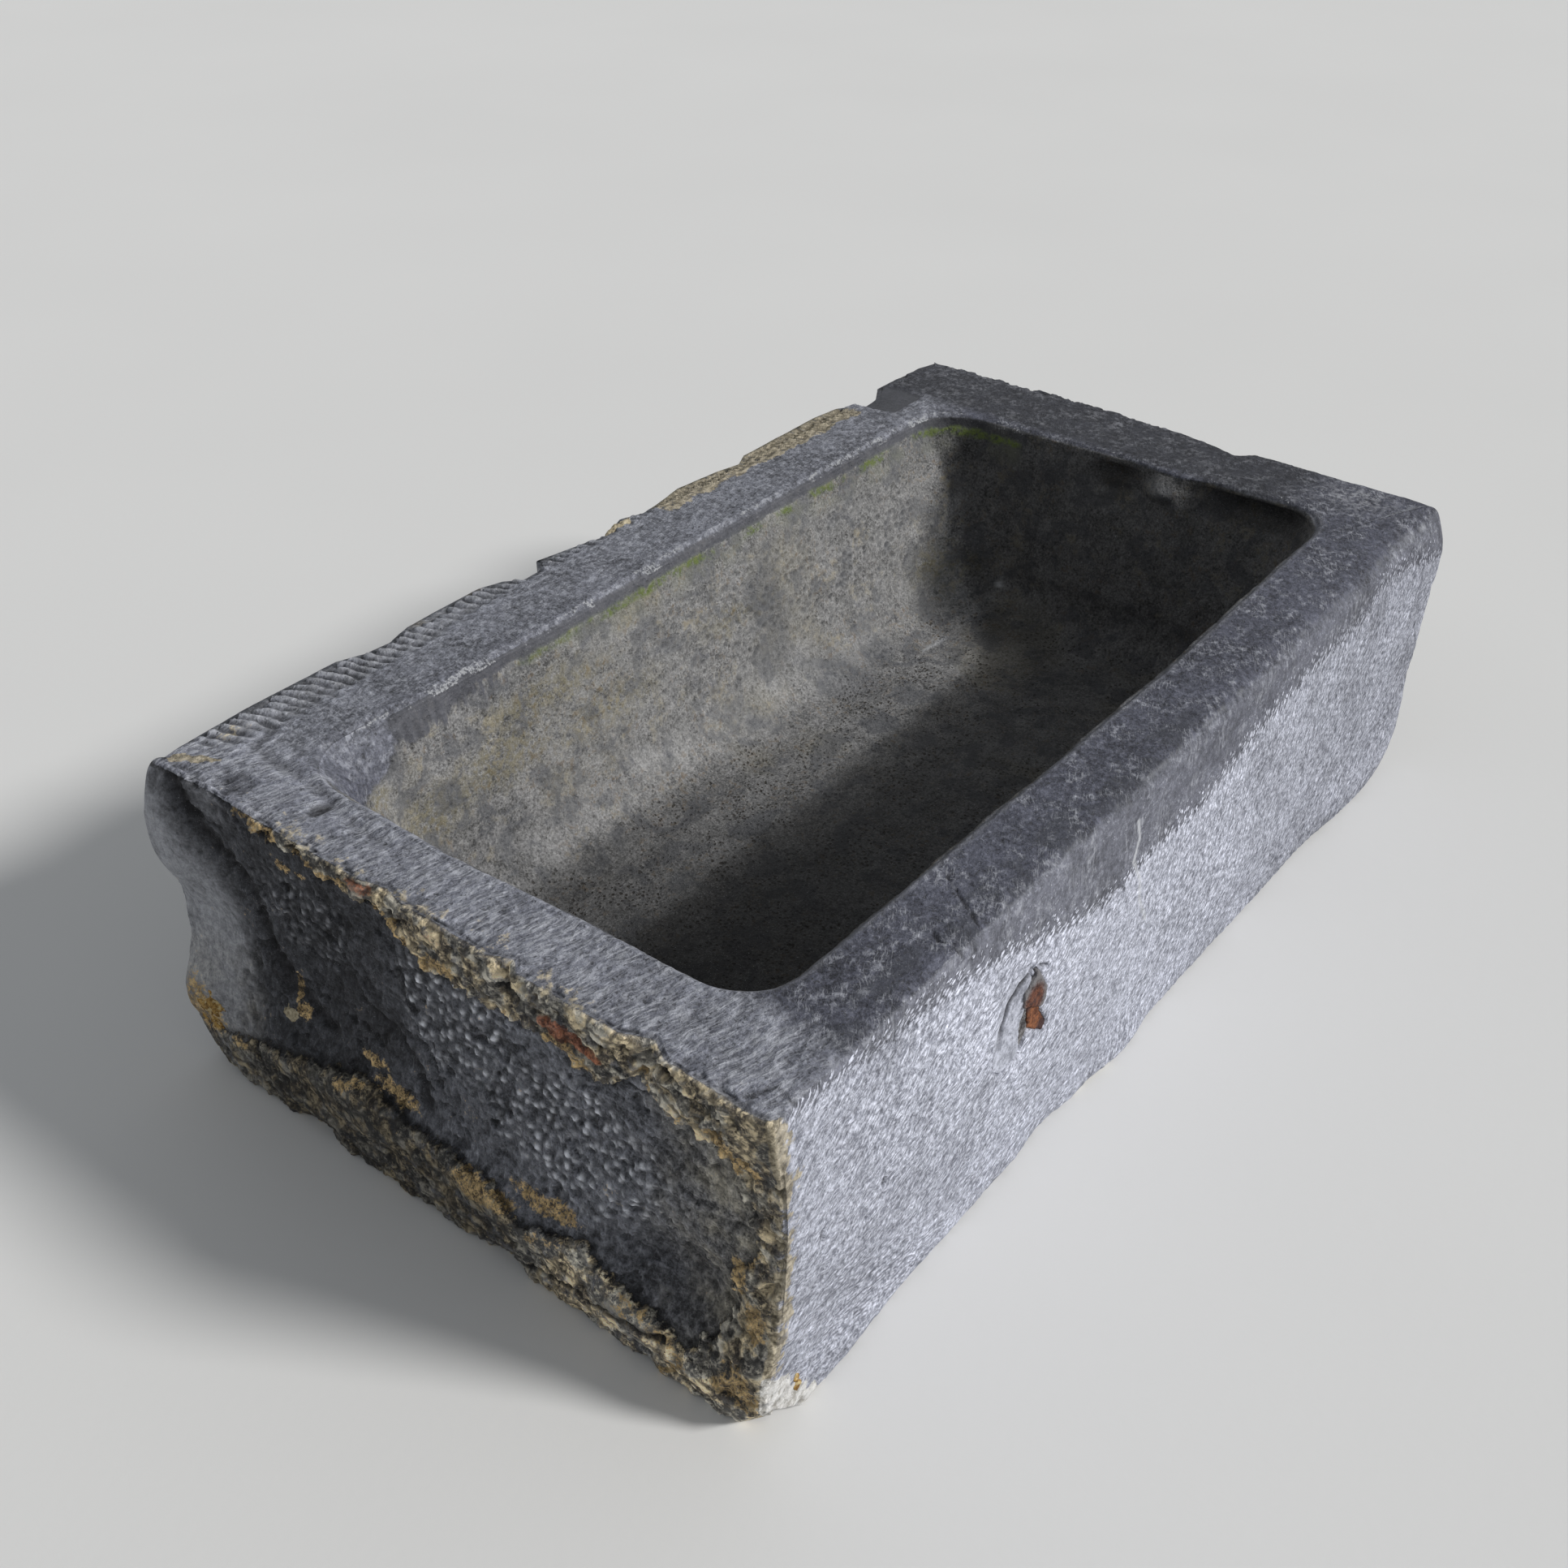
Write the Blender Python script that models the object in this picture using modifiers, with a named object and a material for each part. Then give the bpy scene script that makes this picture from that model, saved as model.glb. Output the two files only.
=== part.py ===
"""Hewn stone trough with the stub of an iron bar wedged in its front face.

Lengths are in metres with Z up. The trough stands on Z = 0 with its middle over
the origin, its long side along X and its tooled front face towards -Y. The stone
is a loft of rounded rectangles with dents and bosses on each side, and the basin,
the socket of the iron and the seats of the old mortar are cut out of it.
"""

import math

import bmesh
import bpy
from mathutils import Vector

# Driving sizes of the stone
rim_length = 1.200
rim_width = 0.696
height = 0.347
end_swell = 0.014
side_swell = 0.008
hew_depth = 0.030
corner_radius = 0.012
far_corner_radius = 0.014
foot_round = 0.009
near_arris = 0.007
far_arris = 0.026
cap_margin = 0.048
broken_corner = 0.044

# Driving sizes of the basin
basin_depth = 0.227
near_wall = 0.082
front_wall = 0.079
far_wall = 0.118
back_wall = 0.112
wall_lean = 0.034
cove_radius = 0.078
mouth_corner = 0.056
floor_corner = 0.118
mouth_wear = 0.006

# Driving sizes of the iron's socket and of what fills it
socket_near = 0.280
socket_low = 0.167
socket_width = 0.092
socket_height = 0.100
socket_depth = 0.046
iron_stand = 0.002
iron_round = 0.0016
fill_sink = 0.0006
mortar_sink = 0.0030

# Clearance left between pieces that touch
seat_gap = 0.0003

# Turns of the rounded edges: shares of a quarter turn over the top edge, (inset, rise) shares round
# the foot, and (depth, wear) shares round the mouth of the basin
arris_turn_shares = (0.36, 0.70, 1.0)
foot_turn_shares = ((1.0, 0.0), (0.3, 0.4))
mouth_turn_shares = ((1.0, 0.0), (0.3, 0.35), (0.0, 1.0))
basin_level_shares = (0.78, 0.54, 0.30, 0.13)

# Part of the height over which the line of the rim fades out downwards
rim_band_share = 0.20

# Counts of the loft
long_count = 50
short_count = 28
arc_count = 4
body_count = 9
basin_long_count = 36
basin_short_count = 18
cove_count = 5

# Places on the ring of sides, in the order in which a ring is walked
FRONT, FAR, BACK, NEAR = range(4)

# Swell of each side up its height, as (height share, swell share) from the foot to the rim
swell_shares = {
    FRONT: ((0.0, -0.7), (0.12, -0.45), (0.3, 0.2), (0.52, 0.6), (0.68, 0.8), (0.82, 0.5), (1.0, 0.0)),
    FAR: ((0.0, -0.4), (0.16, 0.5), (0.3, 0.6), (0.46, 0.85), (0.58, 0.8), (0.8, 1.0), (0.91, 0.95), (1.0, 0.0)),
    BACK: ((0.0, -0.8), (0.2, 0.2), (0.45, 0.8), (0.7, 0.6), (0.9, 0.1), (1.0, 0.0)),
    NEAR: (
        (0.0, -0.1), (0.1, 0.3), (0.22, 0.2), (0.34, -0.55), (0.6, -0.95), (0.8, -0.85), (0.9, -0.35), (1.0, 0.0),
    ),
}

# Line of each side at the rim, as (share along the side, share of the hewing depth)
rim_shares = {
    FRONT: ((0.0, 0.0), (0.22, -0.06), (0.45, 0.04), (0.70, -0.04), (0.92, -0.10), (1.0, -0.16)),
    FAR: ((0.0, -0.35), (0.32, -0.3), (0.352, -0.85), (0.4, -0.5), (0.48, -0.12), (0.72, 0.08), (1.0, -0.12)),
    BACK: (
        (0.0, -0.45), (0.09, -0.1), (0.178, -0.04), (0.2, -0.4), (0.225, -0.48), (0.25, -0.12), (0.33, 0.03),
        (0.354, -0.3), (0.366, -0.8), (0.385, -0.78), (0.398, -0.08), (0.447, -0.46), (0.473, -0.72),
        (0.503, -0.12), (0.527, -0.48), (0.56, -0.25), (0.585, 0.0), (0.636, -0.2), (0.663, -0.46),
        (0.682, -0.06), (0.8, 0.1), (0.832, -0.05), (0.852, -0.6), (0.88, -0.7), (0.902, -0.12),
        (0.97, -0.18), (1.0, -0.4),
    ),
    NEAR: (
        (0.0, 0.0), (0.14, -0.06), (0.165, -0.46), (0.2, -0.08), (0.345, -0.06), (0.362, -0.42), (0.39, -0.1),
        (0.53, -0.16), (0.56, -0.34), (0.6, -0.08), (1.0, -0.1),
    ),
}

# Bosses (rise above zero) and dents (below it), as (share along the side, height share,
# reach share along, reach share up, rise as a share of the hewing depth)
relief_shares = {
    FRONT: (
        (0.345, 0.02, 0.045, 0.12, -0.16),
        (0.460, 0.00, 0.055, 0.14, 0.22),
        (0.920, 0.04, 0.130, 0.20, 0.30),
        (0.100, 0.20, 0.100, 0.20, -0.07),
        (0.640, 0.30, 0.160, 0.28, 0.07),
        (0.800, 0.62, 0.120, 0.22, -0.05),
        (0.985, 0.84, 0.090, 0.14, 0.26),
        (0.985, 0.20, 0.080, 0.20, 0.20),
        (0.050, 0.00, 0.120, 0.15, 0.24),
    ),
    FAR: (
        (0.10, 0.53, 0.12, 0.05, -0.38),
        (0.35, 0.30, 0.20, 0.22, -0.30),
        (0.70, 0.50, 0.24, 0.26, -0.22),
        (0.20, 0.12, 0.16, 0.12, -0.30),
        (0.88, 0.20, 0.12, 0.16, 0.25),
    ),
    BACK: (
        (0.12, 0.40, 0.12, 0.30, -0.45),
        (0.37, 0.78, 0.09, 0.20, -0.40),
        (0.55, 0.30, 0.16, 0.24, -0.50),
        (0.78, 0.55, 0.14, 0.28, -0.40),
        (0.87, 0.86, 0.06, 0.14, -0.45),
        (0.30, 0.10, 0.14, 0.14, -0.30),
        (0.00, 0.70, 0.06, 0.24, -0.16),
    ),
    NEAR: (
        (0.135, 0.33, 0.120, 0.19, -0.45),
        (0.300, 0.62, 0.120, 0.20, -0.10),
        (0.735, 0.50, 0.110, 0.26, -0.34),
        (0.900, 0.52, 0.080, 0.12, -0.20),
        (0.985, 0.78, 0.130, 0.25, 0.82),
        (0.985, 0.28, 0.100, 0.15, 0.50),
        (0.640, 0.22, 0.130, 0.09, 0.34),
        (0.400, 0.20, 0.110, 0.08, 0.30),
        (0.220, 0.14, 0.080, 0.07, 0.24),
        (0.420, 0.03, 0.060, 0.07, -0.35),
        (0.760, 0.03, 0.060, 0.07, -0.35),
    ),
}

# Corners knocked off the foot, as (length share, width share, reach shares along X, Y and Z)
broken_foot_shares = (
    (0.0, 0.0, (1.00, 0.95, 0.95)),
    (0.0, 1.0, (0.55, 1.50, 1.05)),
    (1.0, 0.0, (0.95, 0.70, 0.60)),
    (1.0, 1.0, (0.80, 0.90, 0.70)),
)

# Line of each basin wall at the mouth, as (share along the wall, share of the wear in the stone)
mouth_shares = {
    FRONT: ((0.0, 0.0), (0.60, 0.05), (1.0, -0.35)),
    FAR: ((0.0, 0.55), (0.15, 0.45), (0.30, 0.30), (0.36, -0.25), (0.44, -0.10), (0.50, 0.05), (1.0, -0.35)),
    BACK: ((0.0, -0.20), (0.30, -0.25), (0.52, 0.10), (0.80, 0.15), (1.0, 0.20)),
    NEAR: ((0.0, 0.0), (0.35, 0.10), (0.62, 0.35), (0.85, 0.20), (1.0, -0.30)),
}

# Lean of the basin walls down to the cove, as (depth share, share of the lean)
lean_shares = ((0.0, 0.0), (0.06, 0.05), (0.16, 0.28), (0.32, 0.48), (0.50, 0.72), (0.72, 1.0), (1.0, 1.0))

# Share of the cove's radius along each basin wall
cove_side_shares = {FRONT: 0.80, FAR: 0.62, BACK: 1.0, NEAR: 0.80}

# Smooth fracture sunk in the back edge of the rim, as shares of the rim's length and width
fracture_place_shares = (0.879, 0.968)
fracture_length = 0.080
fracture_width = 0.100
fracture_depth = 0.020
fracture_step_share = 0.25
fracture_taper_share = 0.80

# Outlines in the socket, as (width share, height share) of the socket
fill_outline_shares = (
    (0.00, 0.42), (0.02, 0.66), (0.10, 0.84), (0.22, 0.95), (0.42, 1.00), (0.58, 0.975),
    (0.58, 0.80), (0.44, 0.72), (0.457, 0.58), (0.457, 0.32), (0.50, 0.02), (0.20, 0.00), (0.06, 0.12),
)
bar_outline_shares = (
    (0.457, 0.58), (0.44, 0.72), (0.58, 0.80), (0.66, 0.88), (0.86, 0.57), (0.84, 0.41), (0.783, 0.39),
    (0.576, 0.52),
)
wedge_outline_shares = ((0.63, 0.28), (0.576, 0.52), (0.783, 0.39), (1.00, 0.06), (0.94, 0.00), (0.66, 0.20))
mortar_outline_shares = ((0.457, 0.32), (0.457, 0.58), (0.576, 0.52), (0.63, 0.28), (0.66, 0.20), (0.50, 0.02))
socket_outline_shares = (
    fill_outline_shares[:7] + bar_outline_shares[3:7] + wedge_outline_shares[3:] + fill_outline_shares[10:]
)

# Old mortar left on the stone: half sizes along X, Y and Z
low_lump_half = (0.0110, 0.0260, 0.0240)
face_lump_half = (0.0070, 0.0095, 0.0085)
rim_lump_half = (0.0220, 0.0085, 0.0070)
corner_lump_half = (0.0070, 0.0070, 0.0120)
lump_wave_share = 0.10
lump_wave_counts = (5.0, 4.0, 6.0)

# Places of the old mortar, as shares of the rim's width and of the height or of a broken corner
low_lump_shares = (0.955, 0.235)
face_lump_shares = (0.800, 0.345)
rim_lump_along_share = 0.490
corner_lump_shares = (0.86, 0.18, 0.72)

# How far each lump's middle lies inside the stone, as a share of its half size
low_sink_share = 0.85
face_sink_share = 0.35
rim_sink_shares = (2.2, 1.2)

half_length = rim_length / 2
half_width = rim_width / 2


def share_between(table, place):
    """Value of a table of (place, value) pairs at a place, straight between the pairs."""
    for (low, start), (high, end) in zip(table, table[1:]):
        if place <= high:
            part = max(place - low, 0.0) / (high - low)
            return start + (end - start) * part
    return table[-1][1]


def bell(offset):
    """One at zero offset, falling smoothly to nothing at an offset of one."""
    return (1.0 - offset * offset) ** 2 if abs(offset) < 1.0 else 0.0


def stand_out(side, along, up):
    """How far the stone stands out past the rim rectangle at a share along and up a side."""
    swell = end_swell if side in (FAR, NEAR) else side_swell
    distance = swell * share_between(swell_shares[side], up)
    for place, level, reach, rise_reach, rise in relief_shares[side]:
        distance += hew_depth * rise * bell((along - place) / reach) * bell((up - level) / rise_reach)
    rim_weight = max(up - 1.0 + rim_band_share, 0.0) / rim_band_share
    distance += hew_depth * rim_weight * share_between(rim_shares[side], along)
    return min(distance, swell)


def ring_stations(low, high, radii, counts, arc_steps):
    """Stations round a rectangle with rounded corners, each as its point and outward direction."""
    places = ((low[0], low[1]), (high[0], low[1]), (high[0], high[1]), (low[0], high[1]))
    corners = [Vector(place) for place in places]
    stations = []
    for side in range(4):
        start = corners[side]
        end = corners[(side + 1) % 4]
        run = (end - start).normalized()
        outward = Vector((run.y, -run.x))
        first = start + run * radii[side]
        last = end - run * radii[(side + 1) % 4]
        count = counts[side % 2]
        for step in range(count + 1):
            stations.append((first.lerp(last, step / count), outward))
        radius = radii[(side + 1) % 4]
        centre = last - outward * radius
        for step in range(1, arc_steps):
            angle = math.pi / 2 * step / arc_steps
            direction = outward * math.cos(angle) + run * math.sin(angle)
            stations.append((centre + direction * radius, direction))
    return stations


def side_shares(point):
    """Shares of the rim's length and width at a point."""
    return (point.x + half_length) / rim_length, (point.y + half_width) / rim_width


def hewn_offset(point, outward, up):
    """Shift of a station by the relief of the one or two sides that it faces."""
    length_share, width_share = side_shares(point)
    end_side = FAR if outward.x > 0 else NEAR
    long_side = BACK if outward.y > 0 else FRONT
    across = abs(outward.x) > 0
    lengthwise = abs(outward.y) > 0
    shift_x = outward.x * stand_out(end_side, width_share, up) if across else 0.0
    shift_y = outward.y * stand_out(long_side, length_share, up) if lengthwise else 0.0
    return Vector((shift_x, shift_y))


def arris_at(point, outward):
    """Radius of the worn top edge, small at the near end and wide along the front towards the far end."""
    length_share, _ = side_shares(point)
    if outward.y < 0:
        return near_arris + (far_arris - near_arris) * length_share * -outward.y
    return near_arris


def knock_corners(point):
    """Lay a point that is past a broken foot corner onto the plane of the break."""
    for length_share, width_share, reach_shares in broken_foot_shares:
        sign_x = 1.0 - 2.0 * length_share
        sign_y = 1.0 - 2.0 * width_share
        corner = Vector((length_share * rim_length - half_length, width_share * rim_width - half_width, 0.0))
        slopes = Vector((sign_x / reach_shares[0], sign_y / reach_shares[1], 1.0 / reach_shares[2]))
        slopes /= broken_corner
        short = 1.0 - (point - corner).dot(slopes)
        if short > 0:
            point = point + slopes * (short / slopes.length_squared)
    return point


def loft(name, rings):
    """Closed skin over a list of rings of equal counts, with a flat face on the first and the last."""
    shell = bmesh.new()
    rows = [[shell.verts.new(point) for point in ring] for ring in rings]
    count = len(rings[0])
    for low_row, high_row in zip(rows, rows[1:]):
        for index in range(count):
            after = (index + 1) % count
            shell.faces.new((low_row[index], low_row[after], high_row[after], high_row[index]))
    shell.faces.new(tuple(reversed(rows[0])))
    shell.faces.new(tuple(rows[-1]))
    bmesh.ops.recalc_face_normals(shell, faces=shell.faces)
    return object_from(name, shell)


def object_from(name, shell):
    """Named object made from a bmesh, which is freed."""
    mesh = bpy.data.meshes.new(name)
    shell.to_mesh(mesh)
    shell.free()
    made = bpy.data.objects.new(name, mesh)
    trough_collection.objects.link(made)
    return made


def make_cutter(cutter):
    """Keep a cutter out of the renders and out of the part's own collection."""
    trough_collection.objects.unlink(cutter)
    cutter_collection.objects.link(cutter)
    cutter.hide_render = True
    cutter.display_type = "WIRE"


def cut(target, cutter):
    """Cut one closed body out of another."""
    make_cutter(cutter)
    modifier = target.modifiers.new(cutter.name, "BOOLEAN")
    modifier.operation = "DIFFERENCE"
    modifier.solver = "EXACT"
    modifier.object = cutter


def give_material(target, name, colour, roughness, metallic):
    """Plain surface with its own colour, roughness and metallic value."""
    material = bpy.data.materials.new(name)
    material.use_nodes = True
    surface = material.node_tree.nodes["Principled BSDF"]
    surface.inputs["Base Color"].default_value = (*colour, 1.0)
    surface.inputs["Roughness"].default_value = roughness
    surface.inputs["Metallic"].default_value = metallic
    target.data.materials.append(material)


def outer_rings():
    """Rings of the hewn outside, from the middle of the foot up and over to the middle of the rim."""
    low = (-half_length, -half_width)
    high = (half_length, half_width)
    radii = (corner_radius, far_corner_radius, corner_radius, corner_radius)
    stations = ring_stations(low, high, radii, (long_count, short_count), arc_count)
    inner_low = (low[0] + cap_margin, low[1] + cap_margin)
    inner_high = (high[0] - cap_margin, high[1] - cap_margin)
    inner = ring_stations(inner_low, inner_high, radii, (long_count, short_count), arc_count)

    def wall_ring(inset_of, level_of):
        ring = []
        for point, outward in stations:
            arris = arris_at(point, outward)
            level = level_of(arris)
            place = point + hewn_offset(point, outward, level / height) - outward * inset_of(arris)
            ring.append(knock_corners(Vector((place.x, place.y, level))))
        return ring

    rings = [[Vector((point.x, point.y, 0.0)) for point, _ in inner]]
    for inset_share, rise_share in foot_turn_shares:
        rings.append(wall_ring(lambda arris: foot_round * inset_share, lambda arris: foot_round * rise_share))
    for step in range(body_count + 1):
        share = step / body_count
        climb = height - foot_round
        rings.append(wall_ring(lambda arris: 0.0, lambda arris: foot_round + (climb - arris) * share))
    for turn in arris_turn_shares:
        drop = 1.0 - math.sin(turn * math.pi / 2)
        inset = 1.0 - math.cos(turn * math.pi / 2)
        rings.append(wall_ring(lambda arris: arris * inset, lambda arris: height - arris * drop))
    rings.append([Vector((point.x, point.y, height)) for point, _ in inner])
    return rings


def basin_rings():
    """Rings of the basin cutter, from the floor up through the coves to above the rim."""
    low = (-half_length + near_wall, -half_width + front_wall)
    high = (half_length - far_wall, half_width - back_wall)
    sides = (FRONT, FAR, BACK, NEAR)

    def basin_ring(depth, wear):
        lean = wall_lean * share_between(lean_shares, max(depth, 0.0) / basin_depth)
        insets = {}
        for side in sides:
            radius = cove_radius * cove_side_shares[side]
            into = min(max(depth - (basin_depth - radius), 0.0) / radius, 1.0)
            insets[side] = lean + radius * (1.0 - math.sqrt(1.0 - into * into)) - wear
        ring_low = (low[0] + insets[NEAR], low[1] + insets[FRONT])
        ring_high = (high[0] - insets[FAR], high[1] - insets[BACK])
        corner = mouth_corner + (floor_corner - mouth_corner) * max(depth, 0.0) / basin_depth
        counts = (basin_long_count, basin_short_count)
        stations = ring_stations(ring_low, ring_high, (corner,) * 4, counts, arc_count)
        mouth_weight = max(1.0 - max(depth, 0.0) / (basin_depth / 2), 0.0)
        ring = []
        for point, outward in stations:
            across = (point.y - ring_low[1]) / (ring_high[1] - ring_low[1])
            lengthwise = (point.x - ring_low[0]) / (ring_high[0] - ring_low[0])
            end_share = share_between(mouth_shares[FAR if outward.x > 0 else NEAR], across)
            long_share = share_between(mouth_shares[BACK if outward.y > 0 else FRONT], lengthwise)
            shift = Vector((outward.x * end_share, outward.y * long_share)) * hew_depth * mouth_weight
            ring.append(Vector((point.x + shift.x, point.y + shift.y, height - depth)))
        return ring

    rings = []
    cove_top = basin_depth - cove_radius
    for step in range(cove_count + 1):
        angle = math.pi / 2 * step / cove_count
        rings.append(basin_ring(cove_top + cove_radius * math.cos(angle), 0.0))
    for share in basin_level_shares:
        rings.append(basin_ring(cove_top * share, 0.0))
    for depth_share, wear_share in mouth_turn_shares:
        rings.append(basin_ring(mouth_wear * depth_share, mouth_wear * wear_share))
    rings.append(basin_ring(-hew_depth, mouth_wear))
    return rings


def inset_outline(points, distance):
    """Outline moved inwards by a distance on every edge; a distance below zero moves it out."""
    area = sum(a[0] * b[1] - b[0] * a[1] for a, b in zip(points, points[1:] + points[:1]))
    turn = 1.0 if area > 0 else -1.0
    moved = []
    for index, point in enumerate(points):
        before = Vector(points[index - 1])
        here = Vector(point)
        after = Vector(points[(index + 1) % len(points)])
        first = (here - before).normalized()
        second = (after - here).normalized()
        first_in = Vector((-first.y, first.x)) * turn
        second_in = Vector((-second.y, second.x)) * turn
        mitre = first_in + second_in
        moved.append(here + mitre * (distance / (mitre.dot(first_in))))
    return moved


def socket_points(shares, inset):
    """Outline in the plane of the front face, in metres from the block's near corner and foot."""
    points = [(socket_near + x * socket_width, socket_low + z * socket_height) for x, z in shares]
    return inset_outline(points, inset)


def front_face_at(along, up):
    """Y of the front face at a distance along the block and up it."""
    return -half_width - stand_out(FRONT, along / rim_length, up / height)


def socket_piece(name, shares, inset, sink, back):
    """Piece with an outline in the socket, from its sink under the front face to its back depth."""
    shell = bmesh.new()
    outline = socket_points(shares, inset)
    front_row = []
    back_row = []
    for point in outline:
        x = point.x - half_length
        front_row.append(shell.verts.new((x, front_face_at(point.x, point.y) + sink, point.y)))
        back_row.append(shell.verts.new((x, -half_width + back, point.y)))
    shell.faces.new(front_row)
    shell.faces.new(tuple(reversed(back_row)))
    for index in range(len(outline)):
        after = (index + 1) % len(outline)
        shell.faces.new((front_row[after], front_row[index], back_row[index], back_row[after]))
    bmesh.ops.triangulate(shell, faces=shell.faces[:2])
    bmesh.ops.recalc_face_normals(shell, faces=shell.faces)
    return object_from(name, shell)


def round_edges(target, width):
    """Worn edges."""
    modifier = target.modifiers.new("worn_edges", "BEVEL")
    modifier.width = width
    modifier.segments = 2
    modifier.limit_method = "ANGLE"
    modifier.angle_limit = math.radians(50.0)


def lump(name, place, half_sizes, phase, grown):
    """Rough lump of mortar about a place, grown all round by a clearance."""
    shell = bmesh.new()
    bmesh.ops.create_icosphere(shell, subdivisions=3, radius=1.0)
    for vert in shell.verts:
        unit = vert.co.normalized()
        wave = math.sin(lump_wave_counts[0] * unit.x + phase) * math.sin(lump_wave_counts[1] * unit.y - phase)
        wave += math.sin(lump_wave_counts[2] * unit.z + phase)
        size = 1.0 + lump_wave_share * wave
        spread = Vector((unit.x * half_sizes[0], unit.y * half_sizes[1], unit.z * half_sizes[2])) * size
        vert.co = Vector(place) + spread + unit * grown
    made = object_from(name, shell)
    for face in made.data.polygons:
        face.use_smooth = True
    return made


def near_face_at(across, up):
    """X of the near end at a distance from the front edge and up the block."""
    return -half_length - stand_out(NEAR, across / rim_width, up / height)


def fracture_cutter():
    """Slab whose underside slopes down from a low step in the rim to the back of the block."""
    shell = bmesh.new()
    bmesh.ops.create_cube(shell, size=1.0)
    for vert in shell.verts:
        under = vert.co.z < 0
        step_share = 1.0 if vert.co.y > 0 else fracture_step_share
        taper = fracture_taper_share if under else 1.0
        x = fracture_place_shares[0] * rim_length - half_length + vert.co.x * fracture_length * taper
        y = fracture_place_shares[1] * rim_width - half_width + vert.co.y * fracture_width
        vert.co = Vector((x, y, height - fracture_depth * step_share if under else height + fracture_depth))
    return object_from("fracture_cutter", shell)


def build_trough():
    """The hewn block with its basin, its sunk fracture and the socket of the iron."""
    block = loft("trough_block", outer_rings())
    basin = loft("basin_cutter", basin_rings())
    cut(block, basin)
    cut(block, fracture_cutter())
    socket = socket_piece("socket_cutter", socket_outline_shares, -seat_gap / 2, -hew_depth, socket_depth)
    cut(block, socket)
    give_material(block, "hewn_bluestone", (0.25, 0.255, 0.27), 0.86, 0.0)
    return block


def build_socket_fillings():
    """The iron bar's stub, its wedge, the mortar beside them and the smooth filling."""
    inset = seat_gap / 2
    back = socket_depth - seat_gap
    bar = socket_piece("iron_bar_stub", bar_outline_shares, inset, -iron_stand, back)
    round_edges(bar, iron_round)
    give_material(bar, "rusted_bar", (0.10, 0.065, 0.05), 0.78, 0.35)
    wedge = socket_piece("iron_wedge", wedge_outline_shares, inset, iron_stand, back)
    round_edges(wedge, iron_round)
    give_material(wedge, "rusted_wedge", (0.20, 0.095, 0.045), 0.82, 0.25)
    mortar = socket_piece("mortar_bedding", mortar_outline_shares, inset, mortar_sink, back)
    give_material(mortar, "grey_mortar", (0.33, 0.31, 0.28), 0.95, 0.0)
    fill = socket_piece("socket_fill", fill_outline_shares, inset, fill_sink, back)
    give_material(fill, "smooth_filling", (0.31, 0.32, 0.34), 0.80, 0.0)


def build_lump(block, name, place, half_sizes, phase):
    """A lump of old mortar and its seat in the stone."""
    made = lump(name, place, half_sizes, phase, 0.0)
    cut(block, lump(name + "_seat_cutter", place, half_sizes, phase, seat_gap))
    give_material(made, name + "_ochre", (0.42, 0.29, 0.14), 0.95, 0.0)


scene = bpy.context.scene
for old in list(bpy.data.objects):
    bpy.data.objects.remove(old)
trough_collection = bpy.data.collections.new("stone_trough")
cutter_collection = bpy.data.collections.new("cutters")
scene.collection.children.link(trough_collection)
scene.collection.children.link(cutter_collection)

trough = build_trough()
build_socket_fillings()

low_across = rim_width * low_lump_shares[0]
low_up = height * low_lump_shares[1]
low_x = near_face_at(low_across, low_up) + low_lump_half[0] * low_sink_share
build_lump(trough, "mortar_lump_end_low", (low_x, low_across - half_width, low_up), low_lump_half, 0.4)

face_across = rim_width * face_lump_shares[0]
face_up = height * face_lump_shares[1]
face_x = near_face_at(face_across, face_up) + face_lump_half[0] * face_sink_share
build_lump(trough, "mortar_lump_end_face", (face_x, face_across - half_width, face_up), face_lump_half, 1.3)

rim_place = (
    rim_length * rim_lump_along_share - half_length,
    half_width - rim_lump_half[1] * rim_sink_shares[0],
    height - rim_lump_half[2] * rim_sink_shares[1],
)
build_lump(trough, "mortar_crumb_back_rim", rim_place, rim_lump_half, 2.1)

corner_place = (
    -half_length + broken_corner * corner_lump_shares[0],
    -half_width + broken_corner * corner_lump_shares[1],
    broken_corner * corner_lump_shares[2],
)
build_lump(trough, "mortar_lump_front_corner", corner_place, corner_lump_half, 2.9)
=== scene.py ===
"""The stone trough's visual model on the CAD frame: dense hewn surfaces and procedural materials."""

import math

import bpy
import numpy as np
from mathutils import Matrix, Vector


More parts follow.
